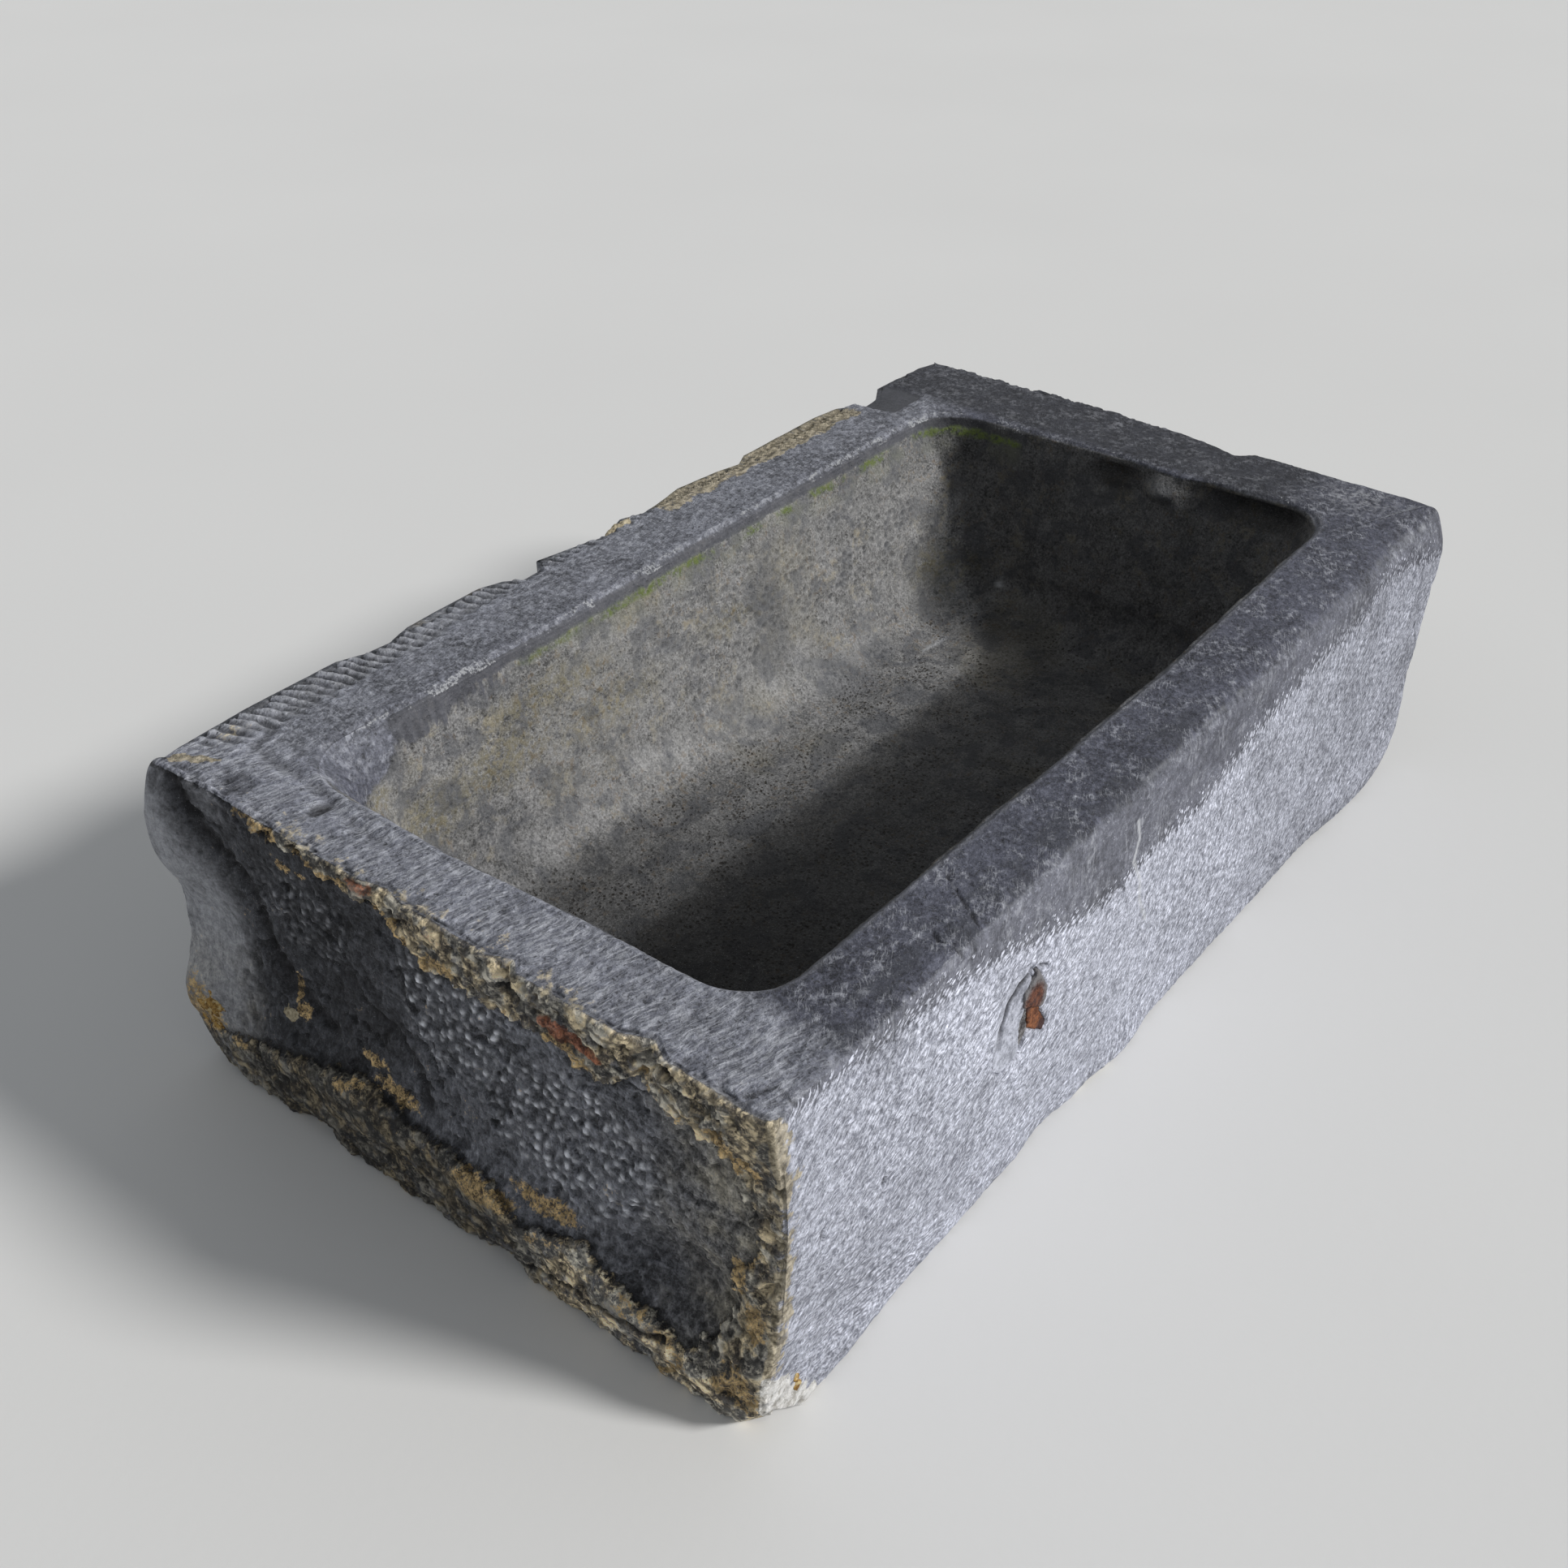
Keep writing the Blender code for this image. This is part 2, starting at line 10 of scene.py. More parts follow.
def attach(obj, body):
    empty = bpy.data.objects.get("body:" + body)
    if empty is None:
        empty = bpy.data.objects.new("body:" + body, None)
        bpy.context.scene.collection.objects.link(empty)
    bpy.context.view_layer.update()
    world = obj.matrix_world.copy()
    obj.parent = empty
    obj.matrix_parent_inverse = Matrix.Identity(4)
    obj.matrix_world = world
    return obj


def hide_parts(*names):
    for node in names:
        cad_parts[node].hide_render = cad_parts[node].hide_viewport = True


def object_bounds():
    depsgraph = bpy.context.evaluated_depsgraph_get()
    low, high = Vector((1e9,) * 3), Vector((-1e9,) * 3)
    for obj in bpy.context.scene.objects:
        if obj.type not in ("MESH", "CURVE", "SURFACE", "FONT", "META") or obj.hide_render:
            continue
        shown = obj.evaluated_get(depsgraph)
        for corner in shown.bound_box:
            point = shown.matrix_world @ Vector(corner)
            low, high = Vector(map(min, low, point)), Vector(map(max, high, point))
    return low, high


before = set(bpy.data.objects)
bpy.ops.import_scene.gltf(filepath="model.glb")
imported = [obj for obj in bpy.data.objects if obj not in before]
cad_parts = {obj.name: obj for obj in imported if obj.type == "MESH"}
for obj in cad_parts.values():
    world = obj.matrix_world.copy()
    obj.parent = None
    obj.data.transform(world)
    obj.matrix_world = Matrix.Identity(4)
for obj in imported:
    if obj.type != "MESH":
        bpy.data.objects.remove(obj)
size_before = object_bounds()

# Sizes shared with the CAD model, in metres
rim_length = 1.200
rim_width = 0.696
height = 0.347
end_swell = 0.014
side_swell = 0.008
hew_depth = 0.030
corner_radius = 0.012
far_corner_radius = 0.014
foot_round = 0.009
near_arris = 0.007
far_arris = 0.026
broken_corner = 0.044
basin_depth = 0.227
near_wall = 0.082
front_wall = 0.079
far_wall = 0.118
back_wall = 0.112
wall_lean = 0.034
cove_radius = 0.078
mouth_corner = 0.056
floor_corner = 0.118
mouth_wear = 0.006
socket_near = 0.280
socket_low = 0.167
socket_width = 0.092
socket_height = 0.100
half_length = rim_length / 2
half_width = rim_width / 2
rim_band_share = 0.20
foot_reach = 0.10

# The block's sides, and the parts of its skin from the foot up, over the rim and down
FRONT, FAR, BACK, NEAR = range(4)
FOOT, WALL, ARRIS, RIM, MOUTH, BASIN, FLOOR = range(7)

swell_shares = {
    FRONT: ((0.0, -0.7), (0.12, -0.45), (0.3, 0.2), (0.52, 0.6), (0.68, 0.8), (0.82, 0.5), (1.0, 0.0)),
    FAR: (
        (0.0, -0.4), (0.16, 0.5), (0.3, 0.6), (0.46, 0.85), (0.58, 0.8), (0.8, 1.0), (0.91, 0.95), (1.0, 0.0),
    ),
    BACK: ((0.0, -0.8), (0.2, 0.2), (0.45, 0.8), (0.7, 0.6), (0.9, 0.1), (1.0, 0.0)),
    NEAR: (
        (0.0, -0.1), (0.1, 0.3), (0.22, 0.2), (0.34, -0.55), (0.6, -0.95), (0.8, -0.85), (0.9, -0.35),
        (1.0, 0.0),
    ),
}
rim_shares = {
    FRONT: ((0.0, 0.0), (0.22, -0.06), (0.45, 0.04), (0.70, -0.04), (0.92, -0.10), (1.0, -0.16)),
    FAR: ((0.0, -0.35), (0.32, -0.3), (0.352, -0.85), (0.4, -0.5), (0.48, -0.12), (0.72, 0.08), (1.0, -0.12)),
    BACK: (
        (0.0, -0.45), (0.09, -0.1), (0.178, -0.04), (0.2, -0.4), (0.225, -0.48), (0.25, -0.12), (0.33, 0.03),
        (0.354, -0.3), (0.366, -0.8), (0.385, -0.78), (0.398, -0.08), (0.447, -0.46), (0.473, -0.72),
        (0.503, -0.12), (0.527, -0.48), (0.56, -0.25), (0.585, 0.0), (0.636, -0.2), (0.663, -0.46),
        (0.682, -0.06), (0.8, 0.1), (0.832, -0.05), (0.852, -0.6), (0.88, -0.7), (0.902, -0.12),
        (0.97, -0.18), (1.0, -0.4),
    ),
    NEAR: (
        (0.0, 0.0), (0.14, -0.06), (0.165, -0.46), (0.2, -0.08), (0.345, -0.06), (0.362, -0.42), (0.39, -0.1),
        (0.53, -0.16), (0.56, -0.34), (0.6, -0.08), (1.0, -0.1),
    ),
}
relief_shares = {
    FRONT: (
        (0.345, 0.02, 0.045, 0.12, -0.16),
        (0.460, 0.00, 0.055, 0.14, 0.22),
        (0.920, 0.04, 0.130, 0.20, 0.30),
        (0.100, 0.20, 0.100, 0.20, -0.07),
        (0.640, 0.30, 0.160, 0.28, 0.07),
        (0.800, 0.62, 0.120, 0.22, -0.05),
        (0.985, 0.84, 0.090, 0.14, 0.26),
        (0.985, 0.20, 0.080, 0.20, 0.20),
        (0.050, 0.00, 0.120, 0.15, 0.24),
    ),
    FAR: (
        (0.10, 0.53, 0.12, 0.05, -0.38),
        (0.35, 0.30, 0.20, 0.22, -0.30),
        (0.70, 0.50, 0.24, 0.26, -0.22),
        (0.20, 0.12, 0.16, 0.12, -0.30),
        (0.88, 0.20, 0.12, 0.16, 0.25),
    ),
    BACK: (
        (0.12, 0.40, 0.12, 0.30, -0.45),
        (0.37, 0.78, 0.09, 0.20, -0.40),
        (0.55, 0.30, 0.16, 0.24, -0.50),
        (0.78, 0.55, 0.14, 0.28, -0.40),
        (0.87, 0.86, 0.06, 0.14, -0.45),
        (0.30, 0.10, 0.14, 0.14, -0.30),
        (0.00, 0.70, 0.06, 0.24, -0.16),
    ),
    NEAR: (
        (0.135, 0.33, 0.120, 0.19, -0.45),
        (0.300, 0.62, 0.120, 0.20, -0.10),
        (0.735, 0.50, 0.110, 0.26, -0.34),
        (0.900, 0.52, 0.080, 0.12, -0.20),
        (0.985, 0.78, 0.130, 0.25, 0.82),
        (0.985, 0.28, 0.100, 0.15, 0.50),
        (0.640, 0.22, 0.130, 0.09, 0.34),
        (0.400, 0.20, 0.110, 0.08, 0.30),
        (0.220, 0.14, 0.080, 0.07, 0.24),
        (0.420, 0.03, 0.060, 0.07, -0.35),
        (0.760, 0.03, 0.060, 0.07, -0.35),
    ),
}
broken_foot_shares = (
    (0.0, 0.0, (1.00, 0.95, 0.95)), (0.0, 1.0, (0.55, 1.50, 1.05)),
    (1.0, 0.0, (0.95, 0.70, 0.60)), (1.0, 1.0, (0.80, 0.90, 0.70)),
)
mouth_shares = {
    FRONT: ((0.0, 0.0), (0.60, 0.05), (1.0, -0.35)),
    FAR: ((0.0, 0.55), (0.15, 0.45), (0.30, 0.30), (0.36, -0.25), (0.44, -0.10), (0.50, 0.05), (1.0, -0.35)),
    BACK: ((0.0, -0.20), (0.30, -0.25), (0.52, 0.10), (0.80, 0.15), (1.0, 0.20)),
    NEAR: ((0.0, 0.0), (0.35, 0.10), (0.62, 0.35), (0.85, 0.20), (1.0, -0.30)),
}
lean_shares = ((0.0, 0.0), (0.06, 0.05), (0.16, 0.28), (0.32, 0.48), (0.50, 0.72), (0.72, 1.0), (1.0, 1.0))
cove_side_shares = (0.80, 0.62, 1.0, 0.80)
socket_shares = (
    (0.00, 0.42), (0.02, 0.66), (0.10, 0.84), (0.22, 0.95), (0.42, 1.00), (0.58, 0.975), (0.58, 0.80),
    (0.66, 0.88), (0.86, 0.57), (0.84, 0.41), (0.783, 0.39), (1.00, 0.06), (0.94, 0.00), (0.66, 0.20),
    (0.50, 0.02), (0.20, 0.00), (0.06, 0.12),
)

# Density of the stone's mesh: points along each side, round each corner, and rings of each part
side_counts = {FRONT: 560, FAR: 250, BACK: 420, NEAR: 390}
arc_count = 22
wall_count = 190
arris_count = 8
rim_count = 46
mouth_count = 8
basin_count = 78
cove_count = 34
floor_count = 50
foot_count = 6

# Features of the near end, as (distance from the front edge, height) in metres
crust_line = (
    (0.0, 0.272), (0.035, 0.282), (0.079, 0.285), (0.100, 0.289), (0.125, 0.310), (0.167, 0.274),
    (0.194, 0.280), (0.212, 0.291), (0.278, 0.287), (0.349, 0.290), (0.372, 0.305), (0.396, 0.318),
    (0.437, 0.322), (0.494, 0.329), (0.567, 0.340), (0.620, 0.352), (0.700, 0.360),
)
ledge_line = (
    (0.0, 0.030), (0.057, 0.042), (0.088, 0.053), (0.111, 0.062), (0.135, 0.065), (0.172, 0.080),
    (0.191, 0.093), (0.220, 0.082), (0.254, 0.076), (0.300, 0.093), (0.379, 0.093), (0.448, 0.110),
    (0.511, 0.094), (0.560, 0.080), (0.640, 0.062), (0.720, 0.055),
)
valley_line = (
    (0.660, 0.347), (0.643, 0.325), (0.612, 0.272), (0.588, 0.245), (0.576, 0.195), (0.550, 0.151),
    (0.506, 0.128),
)
step_line = (
    (0.394, 0.318), (0.387, 0.262), (0.390, 0.226), (0.369, 0.189), (0.352, 0.150),
)
cleft_line = (
    (0.262, 0.018), (0.239, 0.027), (0.180, 0.040), (0.123, 0.050), (0.100, 0.050),
)
scar_line = (
    (0.470, 0.205), (0.452, 0.185), (0.415, 0.176), (0.385, 0.150), (0.376, 0.120),
)
side_crust_line = (
    (0.0, 0.110), (0.05, 0.078), (0.09, 0.055), (0.12, 0.048), (0.16, 0.044), (0.20, 0.022), (0.24, 0.026),
    (0.28, 0.050), (0.32, 0.060),
)
# Spots, as (middle across and up, reach across and up)
notch_spots = (
    (0.373, 0.326, 0.014, 0.010), (0.250, 0.319, 0.022, 0.012), (0.098, 0.334, 0.028, 0.009),
    (0.492, 0.338, 0.011, 0.007), (0.160, 0.322, 0.012, 0.006),
)
ochre_spots = (
    (0.047, 0.297, 0.020, 0.018), (0.017, 0.282, 0.014, 0.014), (0.001, 0.272, 0.012, 0.012),
    (0.672, 0.078, 0.036, 0.036), (0.542, 0.129, 0.014, 0.013), (0.548, 0.150, 0.006, 0.022),
    (0.022, 0.052, 0.040, 0.030), (0.444, 0.129, 0.024, 0.010), (0.415, 0.112, 0.034, 0.012),
    (0.037, 0.160, 0.012, 0.020), (0.018, 0.120, 0.014, 0.034), (0.205, 0.292, 0.028, 0.018),
    (0.186, 0.280, 0.014, 0.016), (0.524, 0.300, 0.012, 0.010), (0.500, 0.302, 0.010, 0.008),
    (0.330, 0.302, 0.026, 0.014), (0.230, 0.100, 0.050, 0.014), (0.300, 0.082, 0.050, 0.012),
)

# Features of the front, as (distance from the near end, height)
band_line = (
    (0.0, 0.343), (0.05, 0.340), (0.09, 0.337), (0.19, 0.325), (0.25, 0.314), (0.31, 0.298), (0.354, 0.284),
    (0.403, 0.269), (0.448, 0.260), (0.475, 0.257), (0.546, 0.266), (0.627, 0.262), (0.670, 0.272),
    (0.746, 0.287), (0.863, 0.299), (0.995, 0.300), (1.019, 0.320), (1.107, 0.314), (1.176, 0.298),
    (1.2, 0.290),
)
crack_line = (
    (0.358, 0.247), (0.345, 0.254), (0.332, 0.257), (0.323, 0.253), (0.314, 0.252), (0.309, 0.247),
    (0.301, 0.244), (0.298, 0.235), (0.292, 0.222), (0.291, 0.210), (0.290, 0.196),
)
vein_line = (
    (0.500, 0.311), (0.506, 0.290), (0.498, 0.270), (0.512, 0.245), (0.520, 0.215), (0.542, 0.178),
)
pit_spots = (
    (0.132, 0.182, 0.0035, 0.0090), (0.111, 0.158, 0.0030, 0.0035), (0.187, 0.224, 0.0022, 0.0022),
    (1.163, 0.211, 0.0070, 0.0080), (0.055, 0.190, 0.0020, 0.0130),
)

# Features of the rim, as (distance from the near end, distance from the front edge)
teeth_line = (
    (0.0, 0.655), (0.12, 0.640), (0.30, 0.648), (0.42, 0.664), (0.64, 0.672), (0.80, 0.662), (1.0, 0.660),
)
second_step_line = (
    (0.102, 0.655), (0.094, 0.640), (0.075, 0.632), (0.069, 0.608), (0.067, 0.552), (0.050, 0.480),
    (0.046, 0.40),
)
rim_crack_lines = (
    ((0.296, 0.060), (0.275, 0.030), (0.254, -0.004)), ((0.240, 0.040), (0.226, 0.020), (0.232, -0.007)),
    ((0.010, 0.030), (0.030, 0.018), (0.028, 0.0)),
)
rim_dent = (0.026, 0.600, 0.022, 0.034)
rim_pit = (0.045, 0.512, 0.016, 0.011)
# The smooth fracture sunk in the back edge, as the CAD's
fracture_x = 0.879 * rim_length
fracture_y = 0.968 * rim_width
fracture_length = 0.080
fracture_width = 0.100
fracture_shallow = 0.005
fracture_fall = 0.015

# Features of the basin: lines seen from above, and lines and spots on its back wall
# The edge of the painted shadow of the front rim on the basin's floor, seen from above
painted_shadow_line = (
    (0.0, 0.350), (0.3, 0.395), (0.75, 0.405), (0.92, 0.412), (1.0, 0.470), (1.08, 0.600),
)
moss_line = (
    (0.338, 0.590), (0.534, 0.589), (0.672, 0.591), (0.818, 0.592), (0.950, 0.591), (0.976, 0.580),
    (1.035, 0.573), (1.066, 0.557), (1.077, 0.531), (1.070, 0.490),
)
chalk_line = ((0.820, 0.482), (0.900, 0.478), (1.000, 0.470), (1.100, 0.462))
stain_spots = ((0.775, 0.500, 0.075, 0.075), (0.845, 0.505, 0.050, 0.030), (0.70, 0.56, 0.06, 0.03))
fold_line = ((1.036, 0.325), (1.040, 0.270), (1.030, 0.215), (1.020, 0.180))
olive_spots = (
    (0.36, 0.285, 0.13, 0.028), (0.29, 0.245, 0.10, 0.035), (0.44, 0.235, 0.10, 0.035),
    (0.20, 0.235, 0.08, 0.040), (0.14, 0.280, 0.03, 0.020), (0.66, 0.250, 0.10, 0.020),
    (1.00, 0.180, 0.07, 0.030),
)


def between(table, place):
    """Values of a table of (place, value) pairs, straight between the pairs."""
    return np.interp(place, *zip(*table))


def most(*layers):
    """The highest of some layers at each point."""
    return np.maximum.reduce(layers)


def bell(offset):
    """One at zero offset, falling smoothly to nothing at an offset of one."""
    return (1.0 - np.clip(offset * offset, 0.0, 1.0)) ** 2


def ease(low, high, value):
    """Nothing below low, one above high, smooth between; low may be the larger."""
    part = np.clip((value - low) / (high - low), 0.0, 1.0)
    return part * part * (3.0 - 2.0 * part)


def blobs(across, up, *spots):
    """Round spots, each a place across and up and a reach across and up, one in the middle."""
    return most(*(bell(np.hypot((across - x0) / dx, (up - y0) / dy)) for x0, y0, dx, dy in spots))


def groove(distance, reach):
    """One on a line, fading out over a reach."""
    return np.exp(-(distance / reach) ** 2)


def stand_out(side, along, up):
    """How far the stone stands out past the rim rectangle at a share along and up a side."""
    swell = end_swell if side in (FAR, NEAR) else side_swell
    distance = swell * between(swell_shares[side], up)
    for place, level, reach, tall, rise in relief_shares[side]:
        distance = distance + hew_depth * rise * bell((along - place) / reach) * bell((up - level) / tall)
    rim_weight = np.clip(up - 1.0 + rim_band_share, 0.0, None) / rim_band_share
    return np.minimum(distance + hew_depth * rim_weight * between(rim_shares[side], along), swell)


def by_side(facing, shares, value):
    """Values of the sides that stations face, for their moves in x and in y."""
    return np.stack([
        np.where(facing[:, 0] > 0, value(FAR, shares[:, 1]), value(NEAR, shares[:, 1])),
        np.where(facing[:, 1] > 0, value(BACK, shares[:, 0]), value(FRONT, shares[:, 0])),
    ], 1)


def stations(low, high, radii):
    """Points, outward directions and sides round a rectangle with rounded corners."""
    corners = np.array([(low[0], low[1]), (high[0], low[1]), (high[0], high[1]), (low[0], high[1])])
    points, outwards, sides = [], [], []
    for side in range(4):
        following = (side + 1) % 4
        run = corners[following] - corners[side]
        run = run / np.linalg.norm(run)
        outward = np.array((run[1], -run[0]))
        first = corners[side] + run * radii[side]
        last = corners[following] - run * radii[following]
        share = np.linspace(0.0, 1.0, side_counts[side] + 1)[:, None]
        arc = np.arange(1, arc_count)
        angle = (math.pi / 2 * arc / arc_count)[:, None]
        direction = outward * np.cos(angle) + run * np.sin(angle)
        points += [first + (last - first) * share, last + (direction - outward) * radii[following]]
        outwards += [np.repeat(outward[None], len(share), 0), direction]
        sides += [np.full(len(share), side), np.where(arc * 2 < arc_count, side, following)]
    return np.concatenate(points), np.concatenate(outwards), np.concatenate(sides)


class Lattice:
    """Gradient noise and cell noise from one seed."""

    def __init__(self, seed):
        source = np.random.RandomState(seed)
        self.order = np.concatenate([source.permutation(256)] * 2)
        lean = source.normal(size=(256, 3))
        self.lean = lean / np.linalg.norm(lean, axis=1)[:, None]
        self.jitter = source.uniform(size=(256, 3))

    def pick(self, cell):
        cell = cell & 255
        return self.order[(self.order[(self.order[cell[..., 0]] + cell[..., 1]) & 255] + cell[..., 2]) & 255]

    def noise(self, place):
        """Gradient noise of about -1 to 1 at points."""
        cell = np.floor(place).astype(np.int64)
        part = place - cell
        fade = part * part * part * (part * (part * 6.0 - 15.0) + 10.0)
        total = 0.0
        for step in np.ndindex(2, 2, 2):
            step = np.array(step)
            value = ((part - step) * self.lean[self.pick(cell + step)]).sum(-1)
            total = total + value * np.prod(np.where(step == 1, fade, 1.0 - fade), axis=-1)
        return total * 1.5

    def layers(self, place, count, gain=0.5):
        """Octaves of gradient noise."""
        total = 0.0
        for octave in range(count):
            total = total + gain ** octave * self.noise(place)
            place = place * 2.03 + 17.1
        return total

    def cells(self, place, randomness):
        """Distance to the nearest cell's middle and the cell's own number, in a plane."""
        cell = np.floor(place).astype(np.int64)
        near = np.full(len(place), 9.0)
        own = np.zeros(len(place))
        for step in np.ndindex(3, 3):
            other = cell + np.array(step) - 1
            jitter = self.jitter[self.pick(np.column_stack([other, np.zeros(len(place), np.int64)]))]
            distance = np.linalg.norm(place - other - 0.5 - (jitter[:, :2] - 0.5) * randomness, axis=1)
            own = np.where(distance < near, jitter[:, 2], own)
            near = np.minimum(near, distance)
        return near, own


def line_distance(across, up, line):
    """Distance from points to a broken line, the way to it, and the side, above zero left of its run."""
    best, to_x, to_y, side = np.zeros((4, *across.shape))
    best += 9.0
    for (x0, y0), (x1, y1) in zip(line, line[1:]):
        dx = x1 - x0
        dy = y1 - y0
        part = np.clip(((across - x0) * dx + (up - y0) * dy) / (dx * dx + dy * dy), 0.0, 1.0)
        off_x = x0 + part * dx - across
        off_y = y0 + part * dy - up
        distance = np.hypot(off_x, off_y)
        closer = distance < best
        for kept, found in ((best, distance), (to_x, off_x), (to_y, off_y), (side, dy * off_x - dx * off_y)):
            kept[closer] = found[closer]
    return best, to_x, to_y, side


def inside_outline(x, z, outline):
    """Whether points lie inside a closed outline."""
    inside = np.zeros(x.shape, bool)
    for (x0, z0), (x1, z1) in zip(outline, outline[1:]):
        slope = (x1 - x0) / (z1 - z0) if z1 != z0 else 0.0
        inside ^= ((z0 > z) != (z1 > z)) & (x < x0 + (z - z0) * slope)
    return inside


def hewn_rings():
    """Rings of the whole skin from the foot up, over the rim and down to the basin's floor."""
    radii = (corner_radius, far_corner_radius, corner_radius, corner_radius)
    point, outward, side = stations((-half_length, -half_width), (half_length, half_width), radii)
    shares = (point + (half_length, half_width)) / (rim_length, rim_width)
    corner_gap = (np.array((half_length, half_width)) - np.abs(point)).max(1)
    arris = near_arris + (far_arris - near_arris) * shares[:, 0] * np.clip(-outward[:, 1], 0.0, 1.0)
    arris = np.minimum(arris, 0.8 * corner_radius + 0.7 * np.maximum(corner_gap - corner_radius, 0.0))

    def wall(inset, level):
        level = np.zeros(len(point)) + level
        out = by_side(outward, shares, lambda wall_side, along: stand_out(wall_side, along, level / height))
        ring = np.column_stack([point + outward * (out - np.reshape(inset, (-1, 1))), level])
        for share_x, share_y, reach_shares in broken_foot_shares:
            slopes = np.array((1.0 - 2.0 * share_x, 1.0 - 2.0 * share_y, 1.0)) / reach_shares / broken_corner
            corner = (share_x * rim_length - half_length, share_y * rim_width - half_width, 0.0)
            short = np.clip(1.0 - (ring - corner) @ slopes, 0.0, None)
            ring = ring + short[:, None] * slopes / (slopes @ slopes)
        return ring

    def basin(depth, widening):
        radius = cove_radius * np.array(cove_side_shares)
        into = np.clip((depth - basin_depth + radius) / radius, 0.0, 1.0)
        lean = wall_lean * between(lean_shares, depth / basin_depth)
        inset = lean + radius * (1.0 - np.sqrt(1.0 - into * into))
        low = (-half_length + near_wall, -half_width + front_wall) + inset[[NEAR, FRONT]]
        high = (half_length - far_wall, half_width - back_wall) - inset[[FAR, BACK]]
        corner = mouth_corner + (floor_corner - mouth_corner) * depth / basin_depth
        place, facing, _ = stations(low, high, (corner,) * 4)
        along = (place - low) / (high - low)
        wear = by_side(facing, along, lambda wall_side, share: between(mouth_shares[wall_side], share))
        place = place + facing * (wear * max(1.0 - depth / (basin_depth / 2), 0.0) * hew_depth + widening)
        return np.column_stack([place, np.full(len(place), height - depth)])

    rings, parts = [], []

    def add(part, ring):
        rings.append(ring)
        parts.append(part)

    foot = wall(foot_round, 0.0)
    for step in range(foot_count, 0, -1):
        share = step / foot_count
        inwards = outward * foot_reach * share ** 1.5
        add(FOOT, np.column_stack([foot[:, :2] - inwards, foot[:, 2] * (1.0 - share) ** 2]))
    for share in (1.0, 0.62, 0.3, 0.08):
        add(WALL, wall(foot_round * share, foot_round * (1.0 - math.sqrt(1.0 - (1.0 - share) ** 2))))
    for step in range(wall_count + 1):
        add(WALL, wall(0.0, foot_round + (height - foot_round - arris) * step / wall_count))
    for turn in np.arange(1, arris_count + 1) * math.pi / 2 / arris_count:
        add(ARRIS, wall(arris * (1.0 - math.cos(turn)), height - arris * (1.0 - math.sin(turn))))
    edge = rings[-1]
    mouth = basin(0.0, mouth_wear)
    for step in range(1, rim_count):
        add(RIM, edge + (mouth - edge) * step / rim_count)
    for turn in np.arange(mouth_count + 1) * math.pi / 2 / mouth_count:
        add(MOUTH, basin(mouth_wear * (1.0 - math.cos(turn)), mouth_wear * (1.0 - math.sin(turn))))
    cove_top = basin_depth - cove_radius
    for step in range(1, basin_count + 1):
        add(BASIN, basin(mouth_wear + (cove_top - mouth_wear) * step / basin_count, 0.0))
    for step in range(1, cove_count + 1):
        add(BASIN, basin(cove_top + cove_radius * math.sin(math.pi / 2 * step / cove_count), 0.0))
    last = rings[-1][:, :2]
    middle = (last.min(0) + last.max(0)) / 2
    reach = (last.max(0) - last.min(0)) / 2
    spine = np.clip(last[:, 0] - middle[0], reach[1] - reach[0], reach[0] - reach[1]) + middle[0]
    target = np.column_stack([spine, np.full(len(last), middle[1])])
    for step in range(1, floor_count + 1):
        share = 1.0 - step / (floor_count + 0.05)
        add(FLOOR, np.column_stack([target + (last - target) * share, rings[-1][:, 2]]))
    return np.array(rings), np.array(parts), outward, side, basin(0.0, 0.0)


def grid_normals(rings):
    """Unit normals of a lattice of rings, pointing out of the stone."""
    along = np.roll(rings, -1, 1) - np.roll(rings, 1, 1)
    up = np.concatenate([rings[1:2] - rings[:1], rings[2:] - rings[:-2], rings[-1:] - rings[-2:-1]])
    normal = np.cross(along, up)
    return normal / np.maximum(np.linalg.norm(normal, axis=2, keepdims=True), 1e-12)


def spread(chosen, values):
    """Values of some points, with nothing on the others."""
    full = np.zeros(len(chosen))
    full[chosen] = values
    return full


def local(chosen, lattice, place, count):
    """Noise worked out on some points, with nothing on the others."""
    return spread(chosen, lattice.layers(place[chosen], count))


rings, parts, outward, side, mouth_line = hewn_rings()
ring_total, station_total = rings.shape[:2]
normal = grid_normals(rings)
flat = rings.reshape(-1, 3)
flat_normal = normal.reshape(-1, 3)
part = np.repeat(parts, station_total)
facing = np.tile(outward, (ring_total, 1))
facing_far, facing_back = facing.T
x = flat[:, 0] + half_length
y = flat[:, 1] + half_width
z = flat[:, 2]
on_wall = (part == WALL) | (part == ARRIS)
on_edge = (part == ARRIS) | (part == RIM)
on_top = on_edge | (part == MOUTH)
by_mouth = (part == RIM) | (part == MOUTH)
flat_top = part == RIM
in_basin = part >= MOUTH
rim = on_top * ease(0.30, 0.90, flat_normal[:, 2])
front, near, far, back = (
    on_wall * ease(low, high, towards) * (1.0 - rim) for low, high, towards in (
        (0.2, 0.7, -facing_back), (0.3, 0.8, -facing_far), (0.3, 0.8, facing_far), (0.3, 0.8, facing_back)))
basin = in_basin * (1.0 - rim)
floor = in_basin * ease(0.75, 0.97, flat_normal[:, 2]) * (z < height - 0.1)
on_front = front > 0
on_back = (far > 0) | (back > 0)
on_near = near > 0
on_basin = basin > 0
far_wall_part = in_basin & (facing_far > 0.5)

wide = Lattice(11)
mid = Lattice(23)
fine = Lattice(37)
broad = wide.layers(flat * 6.0, 3)
rough = mid.layers(flat * 28.0, 4)
grain = fine.layers(flat * 120.0, 3)
jag = mid.layers(flat * 60.0 + 5.0, 3)
crumb = wide.layers(flat * 95.0 + 9.0, 4, 0.62)

# Heights of the relief above the CAD's shape, in metres
rise = 0.0005 * rough + 0.00030 * grain

